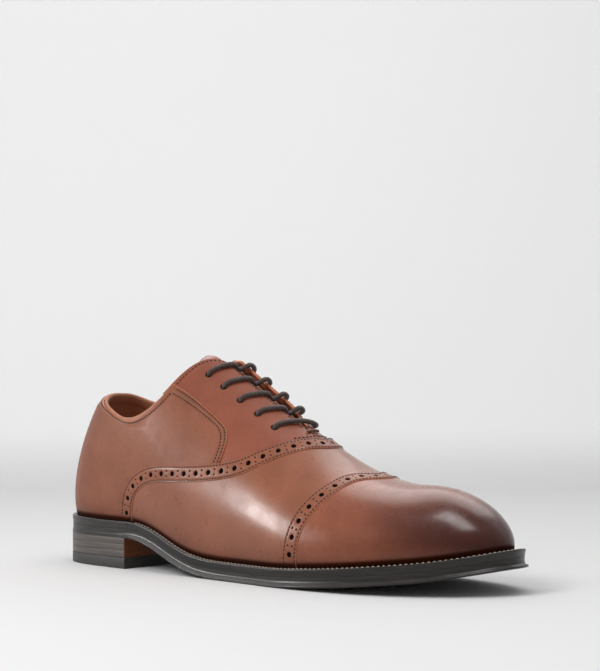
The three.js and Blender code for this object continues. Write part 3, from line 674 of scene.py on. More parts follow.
def brogue_band(name, line, material, count, last, **keys):
    """Band with blind punched holes, following a seam line: count big holes a side, the lowest at w = last,
    with a pair of pinholes between each two and on the ridge."""
    at, total, length_at = strip_map(line)
    width, start = band_plan(count, last, length_at)
    pair = [(PINHOLE_OFF, PINHOLE_R, 10), (-PINHOLE_OFF, PINHOLE_R, 10)]
    cells = [brogue_cell(width, [(0, HOLE_R, 20)]), brogue_cell(width, pair)]
    number = 4 * count - 1
    marks = across_marks()
    xy, faces, hole_face = [], [], []
    offset = 0
    for k in range(number):
        flat, triangles, inside = cells[k % 2]
        xy.append(flat + (start + (k + 0.5) * width, 0))
        faces.append(triangles + offset)
        hole_face.append(inside)
        offset += len(flat)
    finish = start + number * width
    for x0, x1 in ((0, start), (finish, total)):
        n = max(2, int((x1 - x0) / 0.6))
        gx, gy = np.meshgrid(np.linspace(x0, x1, n), marks, indexing="ij")
        index = np.arange(gx.size).reshape(gx.shape) + offset
        four = quads(index)
        faces += [four[:, [0, 1, 2]], four[:, [0, 2, 3]]]
        hole_face.append(np.zeros(2 * len(four), bool))
        xy.append(np.stack([gx.ravel(), gy.ravel()], -1))
        offset += gx.size
    xy, faces, hole_face = np.concatenate(xy), np.concatenate(faces), np.concatenate(hole_face)
    rounded_xy = np.round(xy * 2000).astype(np.int64)
    _, first, same = np.unique(rounded_xy, axis=0, return_index=True, return_inverse=True)
    xy, faces = xy[first], same.ravel()[faces]
    x, y = xy.T
    cell = np.clip(np.floor((x - start) / width), 0, number - 1)
    off = x - start - (cell + 0.5) * width
    blank = (x < start - 1e-6) | (x > finish + 1e-6)
    big = np.where(blank | (cell % 2 == 1), 9, np.hypot(off, y) - HOLE_R)
    pin = np.where(blank | (cell % 2 == 0), 9, np.hypot(off, np.abs(y) - PINHOLE_OFF) - PINHOLE_R)
    edge = BAND_HALF - np.abs(y)
    top = BAND[1] - rounded(edge, 0.4) - furrow(edge, BAND_ROW) - rounded(np.maximum(big, 0), 0.26)
    top -= rounded(np.maximum(pin, 0), 0.14)
    q, w = at(x, y)
    n = len(xy)
    high = on_form(q, w, top)
    floor = on_form(q, w, BAND[0] + 0.06)
    base = on_form(q, w, BAND[0])
    ring = np.zeros(n, bool)
    ring[faces[hole_face]] = True
    sunk = ring & (np.minimum(big, pin) < -1e-3)
    high[sunk] = floor[sunk]
    lip = ring & ~sunk
    lip_id = np.full(n, -1)
    lip_id[lip] = np.arange(lip.sum()) + 2 * n
    points = np.concatenate([high, base, floor[lip]])
    open_faces, pit = faces[~hole_face], faces[hole_face]
    pit = np.where(lip[pit], lip_id[pit], pit)
    wall = []
    e = np.concatenate([open_faces[:, [0, 1]], open_faces[:, [1, 2]], open_faces[:, [2, 0]]])
    _, at_first, counts = np.unique(np.sort(e, 1), axis=0, return_index=True, return_counts=True)
    for a, b in e[at_first[counts == 1]]:
        below = (lip_id[a], lip_id[b]) if lip[a] and lip[b] else (a + n, b + n)
        wall.append((b, a, *below))
    polygons = [tuple(f) for f in open_faces] + [tuple(f) for f in pit]
    polygons += [tuple(f[::-1] + n) for f in faces] + wall
    # Floors of the holes: painted shade standing in for a depth the shallow pits lack.
    pit_shade = np.r_[sunk, np.zeros(n), np.ones(lip.sum())]
    rim = 1 - smooth(edge, 0.02, 0.2)
    raw = np.r_[rim, rim, np.zeros(lip.sum())]
    # The band also takes the painted shade of the crease against the welt.
    values = {"pit": pit_shade, "raw": raw, "foot": welt_crease_shade(points)}
    piece = clean(mesh_piece(name, points, polygons, material, paint=values, **keys))
    rows = []
    for sign in (-1, 1):
        s = np.linspace(1.2, total - 1.2, 1200)
        q, w = at(s, np.full(len(s), sign * (BAND_HALF - BAND_ROW)))
        rows.append(row_of_stitches(q, w, BAND[1] - STITCH_SINK, pitch=2.0, length=1.5))
    return piece, rows


def welt_crease_shade(points, ground=0.0):
    """Painted shade: 1 in the crease against the welt, falling off up the side."""
    rise = points[..., 2] - sole_z(points[..., 0]) - WELT_TOP - ground
    crease = 1 - smooth(rise, 2.0, 4.6)
    return np.maximum(crease, 0.42 * np.exp(-((np.maximum(rise, 0) / 9.5) ** 1.5)))


# ---- cords ----
def cord_piece(name, path, radius, material, step=0.35, sides=20, weave=0.06, **keys):
    """Braided round cord through points, with the ribs of its weave standing off it."""
    path = np.asarray(path, float)
    knots = np.r_[0, np.cumsum(np.sqrt(np.linalg.norm(np.diff(path, axis=0), axis=1)))]
    curves = [cubic(knots, path[:, k]) for k in range(3)]
    dense = np.stack([c(np.linspace(0, knots[-1], 6000)) for c in curves], -1)
    length = run_length(dense)
    s = np.linspace(0, length[-1], int(length[-1] / step))
    p = picked(s, length, dense)
    run = unit(np.gradient(p, axis=0))
    side = np.zeros_like(p)
    side[0] = unit(np.cross(run[0], (0.3, 0.2, 1)))
    for i in range(1, len(p)):
        side[i] = unit(side[i - 1] - run[i] * (side[i - 1] @ run[i]))
    up = np.cross(run, side)
    turn = 2 * math.pi * np.arange(sides) / sides
    twist = 2 * math.pi * s[:, None] / (radius * 2.6)
    ribs = np.maximum(np.sin(5 * turn + twist), np.sin(5 * turn - twist))
    close = np.minimum(1, np.minimum(s, s[-1] - s) / (0.5 * radius))[:, None]
    r = radius * (1 - weave + weave * ribs) * np.sqrt(1 - (1 - close) ** 2 + 1e-4)
    points = p[:, None] + r[..., None] * (
        side[:, None] * np.cos(turn)[None, :, None] + up[:, None] * np.sin(turn)[None, :, None]
    )
    return clean(mesh_piece(name, points, tube_faces(len(p), sides), material, **keys), crease=75)


# ---- bottom of the shoe ----
def heel_blend(q):
    """0 along the sole, 1 over the heel seat."""
    return 1 - smooth(q, 0.235, 0.3)


def hollow(q):
    """Depth of the hollow in the sole's edge: shallow at the heel and round the toe."""
    return mix(0.75, 0.3, heel_blend(q)) - 0.35 * smooth(q, 0.75, 0.95)


def sole_side(q):
    """Profile of the outsole's edge as (outward, up): a narrow lower lip under a shallow hollow."""
    lip = 1.5 * (1 - heel_blend(q))
    deep = hollow(q)
    return [
        (-0.7 * lip - 0.5, 0.0), (0.62 * lip, 0.0), (0.9 * lip, 0.12), (lip, 0.45), (0.96 * lip, 0.85),
        (0.8 * lip, 1.2), (0.5 * lip - 0.05 * deep, 1.48), (0.15 * lip - 0.3 * deep, 1.75),
        (-0.7 * deep, 2.3), (-deep, 3.4), (-deep, OUTSOLE),
    ]


def welt_side(q):
    """Profile of the welt's outer edge, carrying the hollow on up to a rounded upper lip."""
    deep = hollow(q)
    return [
        (-deep, 0.02), (-0.86 * deep, 1.0), (-0.5 * deep, 1.8), (-0.12 * deep, 2.5), (0.05, 3.05),
        (0.08, 3.4), (-0.05, 3.72), (-0.35, 3.95),
    ]


SEAT_RISE = 1.4
WELT_ROW = 2.1
WELT_STITCH = 2.1
WELT_PITCH = 2.7


def seat_rise(q):
    """The rand stands higher round the back of the heel."""
    return SEAT_RISE * (1 - smooth(q, 0.02, 0.24))


def rim_points(side, q, off, lift):
    x, y = sole_edge(side, q, -off)
    return np.stack([x, y, sole_z(x) + lift], -1)


def sole_piece(name, material, **keys):
    """Outsole as rings across the shoe: lower face, hollow side, upper face, hollow side."""
    q = 0.5 - 0.5 * np.cos(np.linspace(0, math.pi, 260))
    share = np.linspace(0, 1, 9)
    sides = {}
    for side in (-1, 1):
        profile = np.array([sole_side(t) for t in q])
        sides[side] = [rim_points(side, q, off, lift) for off, lift in profile.transpose(1, 2, 0)]
    bottom = [mix(sides[1][0], sides[-1][0], t) for t in share[1:-1]]
    top = [mix(sides[-1][-1], sides[1][-1], t) for t in share[1:-1]]
    for row, lift in ((bottom, 0.0), (top, OUTSOLE)):
        for p in row:
            p[:, 2] = sole_z(p[:, 0]) + lift
    grid = np.stack(sides[-1] + top + sides[1][::-1] + bottom, 1)
    faces = tube_faces(*grid.shape[:2], capped=False)
    return clean(mesh_piece(name, grid, faces, material, **keys), crease=50, merge=2e-6)


def rand_piece(name, start, turn, count, material, **keys):
    """Strip round the edge of the sole, from q = start on the outer side past q = turn to the inner side."""
    u = np.linspace(0, 1, count)
    side = np.where(u < 0.5, -1, 1)
    q = np.where(u < 0.5, mix(start, turn, 2 * u), mix(turn, start, 2 * u - 1))
    profile = np.array([welt_side(t) for t in q])
    inner = np.interp(q, stations[0], stations[2]) + 3.2
    lift = OUTSOLE + GAP * 0.3
    rows = []
    for k in range(profile.shape[1]):
        share = profile[:, k, 1] / profile[0, -1, 1]
        rows.append((profile[:, k, 0], profile[:, k, 1] + lift + share * seat_rise(q)))
    top = WELT_TOP
    for back in (1.0, 1.7, WELT_ROW, 2.5, 3.2, 5.0):
        dip = 0.35 * math.exp(-(((back - WELT_ROW) / 0.45) ** 2))
        rows.append((np.full(count, -back), top - dip + seat_rise(q) * (1 - smooth(back, 1.2, 4.2))))
    rows.append((-inner, np.full(count, top)))
    rows.append((-inner, np.full(count, lift)))
    grid = np.zeros((count, len(rows), 3))
    for s in (-1, 1):
        pick = side == s
        for k, (off, z) in enumerate(rows):
            grid[pick, k] = rim_points(s, q[pick], off[pick], z[pick])
    return clean(mesh_piece(name, grid, tube_faces(*grid.shape[:2]), material, **keys), crease=50)


def heel_outline(grow):
    """Closed outline of the heel, breast face straight across."""
    rows = []
    for side in (-1, 1):
        x, y = sole_edge(side, np.linspace(0, WELT_JOINT, 60), -grow)
        keep = x < HEEL_LENGTH - 0.4
        x, y = np.r_[x[keep], HEEL_LENGTH], np.r_[y[keep], sole_edge(side, WELT_JOINT * 0.98, -grow)[1]]
        rows.append(np.stack([x, y], -1))
    return np.concatenate([rows[0][::-1], rows[1][1:]])


def heel_layer(name, z0, z1, material, soften, **keys):
    """One layer of the heel with softened rims."""
    rim = [(-0.6, 0.0), (-soften, 0.0), (-0.25 * soften, 0.25 * soften), (0, soften)]
    levels = rim + [(0, 0.5 * (z1 - z0))] + [(grow, z1 - z0 - z) for grow, z in rim[::-1]]
    rings = [np.c_[heel_outline(grow), np.full(len(heel_outline(grow)), z0 + z)] for grow, z in levels]
    faces = tube_faces(len(rings), len(rings[0]))
    return clean(mesh_piece(name, np.stack(rings), faces, material, **keys), crease=50)


def bed_piece(name, inset, low, high, material, dish=0.0, **keys):
    """Board or sock inside the shoe, following the sole's rise, with a slightly dished top."""
    q = 0.5 - 0.5 * np.cos(np.linspace(0.06, math.pi - 0.05, 150))
    share = np.r_[0, 0.012, 0.03, np.linspace(0.06, 0.94, 21), 0.97, 0.988, 1]
    grids = []
    for lift, is_top in ((high, True), (low, False)):
        a, b = [np.stack(sole_edge(s, q, section[1](q) + inset), -1) for s in (-1, 1)]
        xy = a[:, None] + (b - a)[:, None] * share[None, :, None]
        edge = np.minimum(share, 1 - share)[None] * np.linalg.norm(b - a, axis=1)[:, None]
        z = sole_z(xy[..., 0]) + lift
        if is_top:
            z = z - rounded(edge, 0.4) - dish * smooth(edge, 0, 16)
        grids.append(np.concatenate([xy, z[..., None]], -1))
    points, faces = closed_shell(*grids)
    return clean(mesh_piece(name, points, faces, material, **keys))


# ---- materials ----
def srgb(*rgb):
    """Linear colour for 0..255 values."""
    c = np.array(rgb) / 255
    return tuple(np.where(c <= 0.04045, c / 12.92, ((c + 0.055) / 1.055) ** 2.4)) + (1.0,)


def darker(color, share):
    return tuple(share * c for c in color[:3]) + (1.0,)


class Look:
    """A node material being built."""

    def __init__(self, name):
        self.material = bpy.data.materials.new(name)
        self.material.use_nodes = True
        self.tree = self.material.node_tree
        self.shader = self.tree.nodes["Principled BSDF"]
        self.place = self.add("ShaderNodeTexCoord").outputs["Object"]

    def add(self, kind, inputs=None, **settings):
        made = self.tree.nodes.new(kind)
        for key, value in settings.items():
            setattr(made, key, value)
        for key, value in (inputs or {}).items():
            self.feed(made.inputs[key], value)
        return made

    def feed(self, socket, value):
        if isinstance(value, bpy.types.NodeSocket):
            self.tree.links.new(value, socket)
        else:
            socket.default_value = value

    def noise(self, per_metre, detail=3, rough=0.55, place=None):
        inputs = {"Vector": place or self.place, "Scale": per_metre, "Detail": detail, "Roughness": rough}
        return self.add("ShaderNodeTexNoise", inputs).outputs["Fac"]

    def cells(self, per_metre):
        return self.add("ShaderNodeTexVoronoi", {"Vector": self.place, "Scale": per_metre}).outputs[0]

    def part(self, vector, axis):
        return self.add("ShaderNodeSeparateXYZ", {"Vector": vector}).outputs[axis]

    def facing(self, axis):
        return self.part(self.add("ShaderNodeNewGeometry").outputs["Normal"], axis)

    def map(self, value, a, b, c=0.0, d=1.0):
        keys = {"Value": value, "From Min": a, "From Max": b, "To Min": c, "To Max": d}
        return self.add("ShaderNodeMapRange", keys, interpolation_type="SMOOTHSTEP").outputs["Result"]

    def math(self, operation, a, b=0.0):
        made = self.add("ShaderNodeMath", operation=operation)
        self.feed(made.inputs[0], a)
        self.feed(made.inputs[1], b)
        return made.outputs[0]

    def blend(self, share, a, b, mode="MIX"):
        made = self.add("ShaderNodeMix", data_type="RGBA", blend_type=mode)
        self.feed(made.inputs[0], share)
        self.feed(made.inputs[6], a)
        self.feed(made.inputs[7], b)
        return made.outputs[2]

    def painted(self, name):
        return self.add("ShaderNodeAttribute", attribute_name=name).outputs["Fac"]

    def stretched(self, x, y, z):
        return self.add("ShaderNodeMapping", {"Vector": self.place, "Scale": (x, y, z)}).outputs["Vector"]

    def finish(self, color, rough, bumps=(), **more):
        """bumps are (height, depth in metres) pairs."""
        self.feed(self.shader.inputs["Base Color"], color)
        self.feed(self.shader.inputs["Roughness"], rough)
        shape = None
        for height, depth in bumps:
            keys = {"Height": height, "Distance": depth, "Strength": 1.0}
            if shape is not None:
                keys["Normal"] = shape
            shape = self.add("ShaderNodeBump", keys).outputs["Normal"]
        if shape is not None:
            self.feed(self.shader.inputs["Normal"], shape)
        for key, value in more.items():
            self.feed(self.shader.inputs[key.replace("_", " ").title().replace("Ior", "IOR")], value)
        return self.material


def calf(name, color, deep, raw, rough=0.27, coat=0.2, shine=0.3, painted=True):
    """Polished calf: fine pores, uneven dye and paler cut edges, with painted shade in the crease against the
    welt and on the floors of punched holes.
    """
    look = Look(name)
    cloud = look.noise(38, 4, 0.6)
    mottle = look.noise(420, 3, 0.6)
    pores = look.noise(2600, 2, 0.7)
    tone = look.blend(look.map(cloud, 0.3, 0.75, 0.0, 0.45), color, deep)
    tone = look.blend(look.map(mottle, 0.35, 0.7, 0.0, 0.16), tone, deep)
    tone = look.blend(look.map(pores, 0.55, 0.72, 0.0, 0.10), tone, deep)
    if painted:
        # Burnish darkening on the toe cap, with a painted floor reflection near the welt; painted shade on
        # the tongue under the lacing gap.
        tone = look.blend(look.map(look.painted("burnish_and_shade"), 0.0, 1.0), tone, BURNISH_AND_SHADE)
        # Painted shade in the crease against the welt.
        tone = look.blend(look.painted("foot"), tone, CREASE_SHADE)
        tone = look.blend(look.math("MULTIPLY", look.painted("raw"), 0.8), tone, raw)
        # Painted shade on the floors of the punched holes.
        tone = look.blend(look.painted("pit"), tone, PIT_SHADE)
    gloss = look.map(look.noise(160, 3, 0.6), 0.3, 0.75, rough - 0.04, rough + 0.07)
    grain = look.cells(2300)
    wrinkle = look.noise(1500, 3, 0.6)
    bumps = [(wrinkle, 0.000014), (grain, 0.00001)]
    keys = {"coat_weight": coat, "coat_roughness": 0.18, "sheen_weight": 0.04}
    if painted:
        # Painted shade also dims the coat and specular in the welt crease and on the hole floors.
        painted_shade = look.math("MAXIMUM", look.painted("pit"), look.painted("foot"))
        unshaded = look.math("SUBTRACT", 1.0, painted_shade)
        keys["coat_weight"] = look.math("MULTIPLY", unshaded, coat)
        keys["specular_ior_level"] = look.math("MULTIPLY", unshaded, shine)
    return look.finish(tone, gloss, bumps, **keys)


def plain_leather(name, color, deep, rough=0.6):
    return calf(name, color, deep, color, rough, coat=0.0, painted=False)


# Dark colour of the burnished toe, also used as painted shade on the tongue in the lacing gap.
BURNISH_AND_SHADE = srgb(68, 30, 23)
# Painted shade colour for the crease against the welt.
CREASE_SHADE = srgb(44, 14, 5)
# Dark leather under the holes, darkened further as painted shade for their depth.
PIT_SHADE = srgb(16, 8, 6)
RAW_EDGE = srgb(205, 128, 92)


def waxed_thread(name, color):
    look = Look(name)
    tone = look.blend(look.noise(900, 3), color, darker(color, 0.55))
    return look.finish(tone, 0.42, [(look.noise(5000, 2), 0.00003)])


def lace_cord(name):
    look = Look(name)
    fibre = look.noise(1500, 4, 0.7)
    tone = look.blend(look.map(fibre, 0.35, 0.7), srgb(46, 34, 30), srgb(84, 66, 58))
    return look.finish(tone, 0.62, [(fibre, 0.00006)], sheen_weight=0.25, sheen_roughness=0.4)


# Painted highlight colour for the up-facing lips of the sole edge.
LIP_HIGHLIGHT = srgb(118, 114, 114)


def sole_edge_leather(name):
    """Inked and waxed sole edge: near black brown, faint level streaks, and a painted highlight on the
    up-facing lips that fades towards the toe.
    """
    look = Look(name)
    streak = look.noise(60, 4, 0.6, look.stretched(1, 1, 14))
    speck = look.noise(1400, 3, 0.6)
    tone = look.blend(look.map(streak, 0.35, 0.7), srgb(32, 29, 28), srgb(46, 41, 39))
    tone = look.blend(look.map(speck, 0.6, 0.75, 0, 0.2), tone, srgb(66, 58, 54))
    # Painted highlight: faces tilted upwards are lightened, less towards the toe.
    up = look.facing("Z")
    lip = look.math("MULTIPLY", look.map(up, 0.5, 0.78, 0, 0.65), look.map(up, 0.88, 0.98, 1, 0))
    lip = look.math("MULTIPLY", lip, look.map(look.part(look.place, "X"), 0.0, 0.11, 1, 0.2))
    tone = look.blend(lip, tone, LIP_HIGHLIGHT)
    gloss = look.map(streak, 0.3, 0.75, 0.3, 0.44)
    bumps = [(streak, 0.00002), (speck, 0.00001)]
    return look.finish(tone, gloss, bumps, specular_ior_level=0.32, coat_weight=0.08, coat_roughness=0.2)


def stacked_leather(name):
    """Heel lift: packed leather board in level fibres; the breast face is left a warm brown."""
    look = Look(name)
    fibre = look.noise(45, 5, 0.65, look.stretched(1, 1, 26))
    tone = look.blend(look.map(fibre, 0.3, 0.72), srgb(64, 55, 51), srgb(86, 73, 67))
    bare = look.blend(fibre, srgb(138, 74, 32), srgb(84, 42, 20))
    tone = look.blend(look.map(look.facing("X"), 0.8, 0.95), tone, bare)
    return look.finish(tone, 0.42, [(fibre, 0.0001)], coat_weight=0.15, coat_roughness=0.3)


def moulded_rubber(name):
    look = Look(name)
    speck = look.noise(1800, 3, 0.7)
    tone = look.blend(look.map(speck, 0.35, 0.7), srgb(44, 42, 41), srgb(62, 59, 57))
    return look.finish(tone, 0.55, [(speck, 0.00005)])


def board(name, color, deep, scale=700):
    look = Look(name)
    fleck = look.noise(scale, 4, 0.7)
    return look.finish(look.blend(look.map(fleck, 0.3, 0.7), color, deep), 0.85, [(fleck, 0.0001)])


def metal(name, color):
    look = Look(name)
    scratch = look.noise(600, 4, 0.7, look.stretched(1, 8, 1))
    tone = look.blend(look.map(scratch, 0.3, 0.7), color, darker(color, 0.7))
    return look.finish(tone, look.map(scratch, 0.3, 0.7, 0.25, 0.45), [(scratch, 0.00002)], metallic=1.0)


tan_calf = calf("tan_calf", srgb(152, 92, 66), srgb(110, 60, 40), RAW_EDGE, rough=0.31)
quarter_calf = calf(
    "quarter_calf", srgb(147, 92, 70), srgb(108, 62, 45), RAW_EDGE, rough=0.42, coat=0.02, shine=0.13
)
russet_calf = calf("russet_calf", srgb(150, 84, 62), srgb(112, 56, 40), RAW_EDGE, rough=0.32, coat=0.1)
cap_calf = calf("cap_calf", srgb(158, 92, 66), srgb(108, 56, 40), RAW_EDGE, rough=0.25, coat=0.2, shine=0.25)
band_calf = calf("band_calf", srgb(150, 92, 68), srgb(112, 64, 46), RAW_EDGE, rough=0.32, coat=0.1, shine=0.2)
lining_calf = plain_leather("lining_calf", srgb(176, 112, 78), srgb(140, 82, 54))
thread_dark = waxed_thread("thread_dark", srgb(44, 27, 22))
thread_light = waxed_thread("thread_light", srgb(196, 178, 158))
thread_tack = waxed_thread("thread_tack", srgb(112, 74, 56))
lace_material = lace_cord("lace_cord")
sole_material = sole_edge_leather("sole_edge_leather")
stack_material = stacked_leather("stacked_leather")
rubber_material = moulded_rubber("top_piece_rubber")


# Painted shade along the welt, measured from the rand where it rises round the heel.
def welt_shade_paint(q, w, points, near):
    return welt_crease_shade(points, seat_rise(q))


# ---- upper ----
RIM_DROP = 1.4


def rim_drop(q, distance):
    """How far the quarter sinks towards the topline, where the wall of the shoe thins."""
    return RIM_DROP * (1 - smooth(distance, 0, 10)) * (1 - smooth(q, 0.265, 0.325))


QUARTER_ROWS = (0.85, 2.7)
TOPLINE_ROW = 1.7
GAP_ROW = 1.5


def upper():
    quarter_rows, facing_rows = [], []
    for side, label in ((-1, "lateral"), (1, "medial")):
        shape = quarter_shape(side)
        sheet(
            f"quarter_{label}_leather", shape, (130, 80), (quarter_low, QUARTER[1]), quarter_calf,
            {"u0": (), "u1": QUARTER_ROWS, "v1": (TOPLINE_ROW,)}, {"foot": welt_shade_paint},
            relief=lambda q, w, near: -rim_drop(q, near["v1"]),
            stands_for=(f"quarter_{label}",), slot="tan_leather",
        )
        height = QUARTER[1] - STITCH_SINK
        for distance in QUARTER_ROWS:
            row = edge_row(shape, "u1", distance, 0.02, 0.97)
            quarter_rows.append(row_of_stitches(*row, height, 1.85, 1.2))
        q, w = edge_row(shape, "v1", TOPLINE_ROW, 0.01, 0.97)
        quarter_rows.append(row_of_stitches(q, w, height - rim_drop(q, TOPLINE_ROW), 1.85, 1.3))

        shape = facing_shape(side)
        facing = sheet(
            f"facing_{label}_leather", shape, (90, 110), (facing_low, FACING[1]), russet_calf,
            {"u1": (GAP_ROW,), "v1": (TOPLINE_ROW,)}, {"foot": welt_shade_paint}, relief=facing_curl,
            stands_for=(f"facing_{label}",), slot="russet_leather",
        )
        punch(facing, side, EYELET_R, FACING[1])
        height = FACING[1] - STITCH_SINK
        q, w = edge_row(shape, "u1", GAP_ROW, 0.1, 0.97)
        facing_rows.append(row_of_stitches(q, w, height + facing_curl(q, w, {"u1": GAP_ROW}), 2.5, 1.9))
        facing_rows.append(row_of_stitches(*edge_row(shape, "v1", TOPLINE_ROW, 0.12, 0.95), height))

        name = f"quarter_lining_{label}"
        keys = {"stands_for": (name,), "slot": "lining_leather"}
        bare = {"u1": (), "v1": ()}
        lining = sheet(f"{name}_leather", lining_shape(side), (90, 60), LINING, lining_calf, bare, **keys)
        punch(lining, side, EYELET_R, LINING[1] + 0.3)
    thread_piece("stitching_quarters", joined(quarter_rows), thread_dark, radius=0.33, slot="thread")
    thread_piece("stitching_facings", joined(facing_rows), thread_dark, slot="thread")


def quarter_low(q, w, near):
    return QUARTER[0] - rim_drop(q, near["v1"])


def facing_curl(q, w, near):
    """The inner facing curls up along the gap."""
    rise = FAR_CURL * (1 - smooth(near["u1"], 0, 7)) * (1 - smooth(q, 0.543, 0.582))
    return np.where(w > 0, rise, 0.0)


def facing_low(q, w, near):
    thick_rim = np.where(w > 0, 0.0, 1 - smooth(near["u1"], 3.0, 4.6))
    return FACING[0] - thick_rim + facing_curl(q, w, near)


def punch(piece, side, radius, height):
    """Eyelet holes with softened rims, cut through a sheet."""
    profile = [(radius, -3.5), (radius, height - 0.35), (radius + 0.12, height - 0.1)]
    profile += [(radius + 0.5, height + 0.12), (radius + 1.2, height + 0.3), (radius + 1.2, 8)]
    sides = 28
    turn = 2 * math.pi * np.arange(sides) / sides
    points, faces = [], []
    for q in EYELETS:
        w = side * EYELET_W
        centre, up = form(q, w), normal(q, w)
        a = unit(np.cross(up, (0, 1, 0.2)))
        b = np.cross(up, a)
        first = sum(len(p) for p in points)
        circle = np.outer(np.cos(turn), a) + np.outer(np.sin(turn), b)
        rings = [centre + up * z + r * circle for r, z in profile]
        points.append(np.concatenate(rings))
        faces += tube_faces(len(profile), sides, first=first)
    subtract(piece, np.concatenate(points), faces)


def subtract(piece, points, faces):
    mesh = bpy.data.meshes.new("cutter")
    mesh.from_pydata(((points - ORIGIN) * METRE).tolist(), [], faces)
    b = bmesh.new()
    b.from_mesh(mesh)
    bmesh.ops.recalc_face_normals(b, faces=b.faces)
    b.to_mesh(mesh)
    b.free()
    cutter = placed("cutter", mesh)
    cut = piece.modifiers.new("holes", "BOOLEAN")
    cut.operation, cut.object, cut.solver = "DIFFERENCE", cutter, "EXACT"
    made = bpy.data.meshes.new_from_object(piece.evaluated_get(bpy.context.evaluated_depsgraph_get()))
    piece.modifiers.clear()
    old, name = piece.data, piece.data.name
    piece.data = made
    bpy.data.meshes.remove(old)
    made.name = name
    bpy.data.objects.remove(cutter)
    bpy.data.meshes.remove(mesh)
    clean(piece)


def cap_burnish_and_reflection(q, w, points, near):
    """Hand burnishing: darkest round the tip and low on the sides; kept lighter low near the welt as a
    painted reflection of the floor.
    """
    toe = smooth(q, 0.68, 0.93)
    low = smooth(np.abs(w), 0.1, 0.7)
    # Painted reflection of the floor: less darkening low on the cap near the welt.
    floor_reflection = smooth(np.abs(w), 0.78, 1.0) * (1 - smooth(q, 0.86, 0.97))
    return np.clip(0.05 + 0.14 * low + toe * (0.34 + 0.42 * low - 0.4 * floor_reflection), 0, 0.9)


def across_foot(back, front):
    """Patch from feather to feather between two lines, each a function of how far down the side."""

    def at(u, v):
        w = mix(-1, 1, v)
        return mix(back(np.abs(w)), front(np.abs(w)), u), w

    return at


def to_toe(a):
    return 1.0


vamp_shape = across_foot(lambda a: vamp_line(a) + 0.003, lambda a: cap_line(a) + LAP)
cap_shape = across_foot(cap_line, to_toe)
vamp_lining_shape = across_foot(lining_line, to_toe)


def vamp_and_cap():
    keys = {"slot": "tan_leather", "stands_for": ("vamp",)}
    sheet("vamp_leather", vamp_shape, (90, 200), VAMP, tan_calf, paint={"foot": welt_shade_paint}, **keys)
    keys = {"slot": "cap_leather", "stands_for": ("toe_cap",)}
    paint = {"foot": welt_shade_paint, "burnish_and_shade": cap_burnish_and_reflection}
    sheet("toe_cap_leather", cap_shape, (110, 200), CAP, cap_calf, paint=paint, fold=True, **keys)
    keys = {"slot": "lining_leather", "stands_for": ("vamp_lining",)}
    shape, count = vamp_lining_shape, (90, 120)
    sheet("vamp_lining_leather", shape, count, LINING, lining_calf, {"u0": ()}, fold=True, **keys)
    keys = {"slot": "band_leather"}
    vamp = ("vamp_band_leather", vamp_line, band_calf, 18, 0.964)
    cap = ("toe_cap_band_leather", cap_line, band_calf, 9, 0.912)
    _, rows = brogue_band(*vamp, stands_for=("vamp_band",), **keys)
    _, more = brogue_band(*cap, stands_for=("toe_cap_band",), **keys)
    thread_piece("stitching_bands", joined(rows + more), thread_dark, radius=0.24, slot="thread")


def topline_binding():
    """Soft strip folded over the edge of the topline, from throat to throat round the heel."""
    reach = 0.418
    s = np.linspace(-1, 1, 260)
    q, side = reach * np.abs(s), np.where(s < 0, -1, 1)
    w = side * top_line(q)
    base = form(q, w)
    up = normal(q, w)
    rise = unit(form(q, w - side * 0.01) - base)
    outside = [(-3, 1.75), (-0.4, 1.88), (0.3, 1.9), (0.75, 1.65), (0.95, 1.2), (0.85, 0.6), (0.5, 0.15)]
    outside += [(0, -0.2), (-0.8, -0.35), (-3, -0.45), (-5.6, -0.42), (-6, -0.25)]
    inside = [(-5.6, -0.06), (-3, -0.06), (-0.6, -0.05), (0.1, 0.25), (0.4, 0.7), (0.45, 1.15), (0.2, 1.45)]
    inside += [(-3, 1.35)]
    loop = np.array(outside + inside)
    taper = np.clip((1 - np.abs(s)) / 0.03, 0.35, 1)
    grid = np.stack([base + rise * (a * taper)[:, None] + up * h for a, h in loop], 1)
    faces = tube_faces(*grid.shape[:2])
    keys = {"stands_for": ("topline_binding",), "slot": "binding_leather"}
    clean(mesh_piece("topline_binding_leather", grid, faces, lining_calf, **keys), crease=60)


TONGUE_START = 0.38
TONGUE_END = 0.6


def tongue():
    def shape(u, v):
        q = mix(TONGUE_START, TONGUE_END, u**1.3)
        half = mix(0.25, 0.17, u) * np.sqrt(np.clip(u * 6 + 0.3, 0, 1))
        return q, half * mix(-1, 1, v)

    def roll(q):
        u = ((q - TONGUE_START) / (TONGUE_END - TONGUE_START)) ** (1 / 1.3)
        return 1.4 * u * u + 2.3 * np.exp(-(((q - 0.408) / 0.018) ** 2))

    def plump(q, w, near):
        rim = np.minimum(near["u0"], np.minimum(near["v0"], near["v1"]))
        share = (q - TONGUE_START) / (TONGUE_END - TONGUE_START)
        return roll(q) + 0.5 * smooth(rim, 0, 7) * (1 - share)

    def under(q, w, near):
        return roll(q) - 6.1

    keys = {"body": "tongue", "stands_for": ("tongue",), "slot": "russet_leather"}
    marks = {"u0": (2.2,), "v0": (2.2,), "v1": (2.2,)}
    # Painted shade: the tongue darkens where it lies deep under the lacing gap.
    paint = {"burnish_and_shade": lambda q, w, points, near: 0.85 * smooth(q, 0.425, 0.45)}
    sheet("tongue_leather", shape, (90, 50), (under, -4.3), russet_calf, marks, paint, relief=plump, **keys)


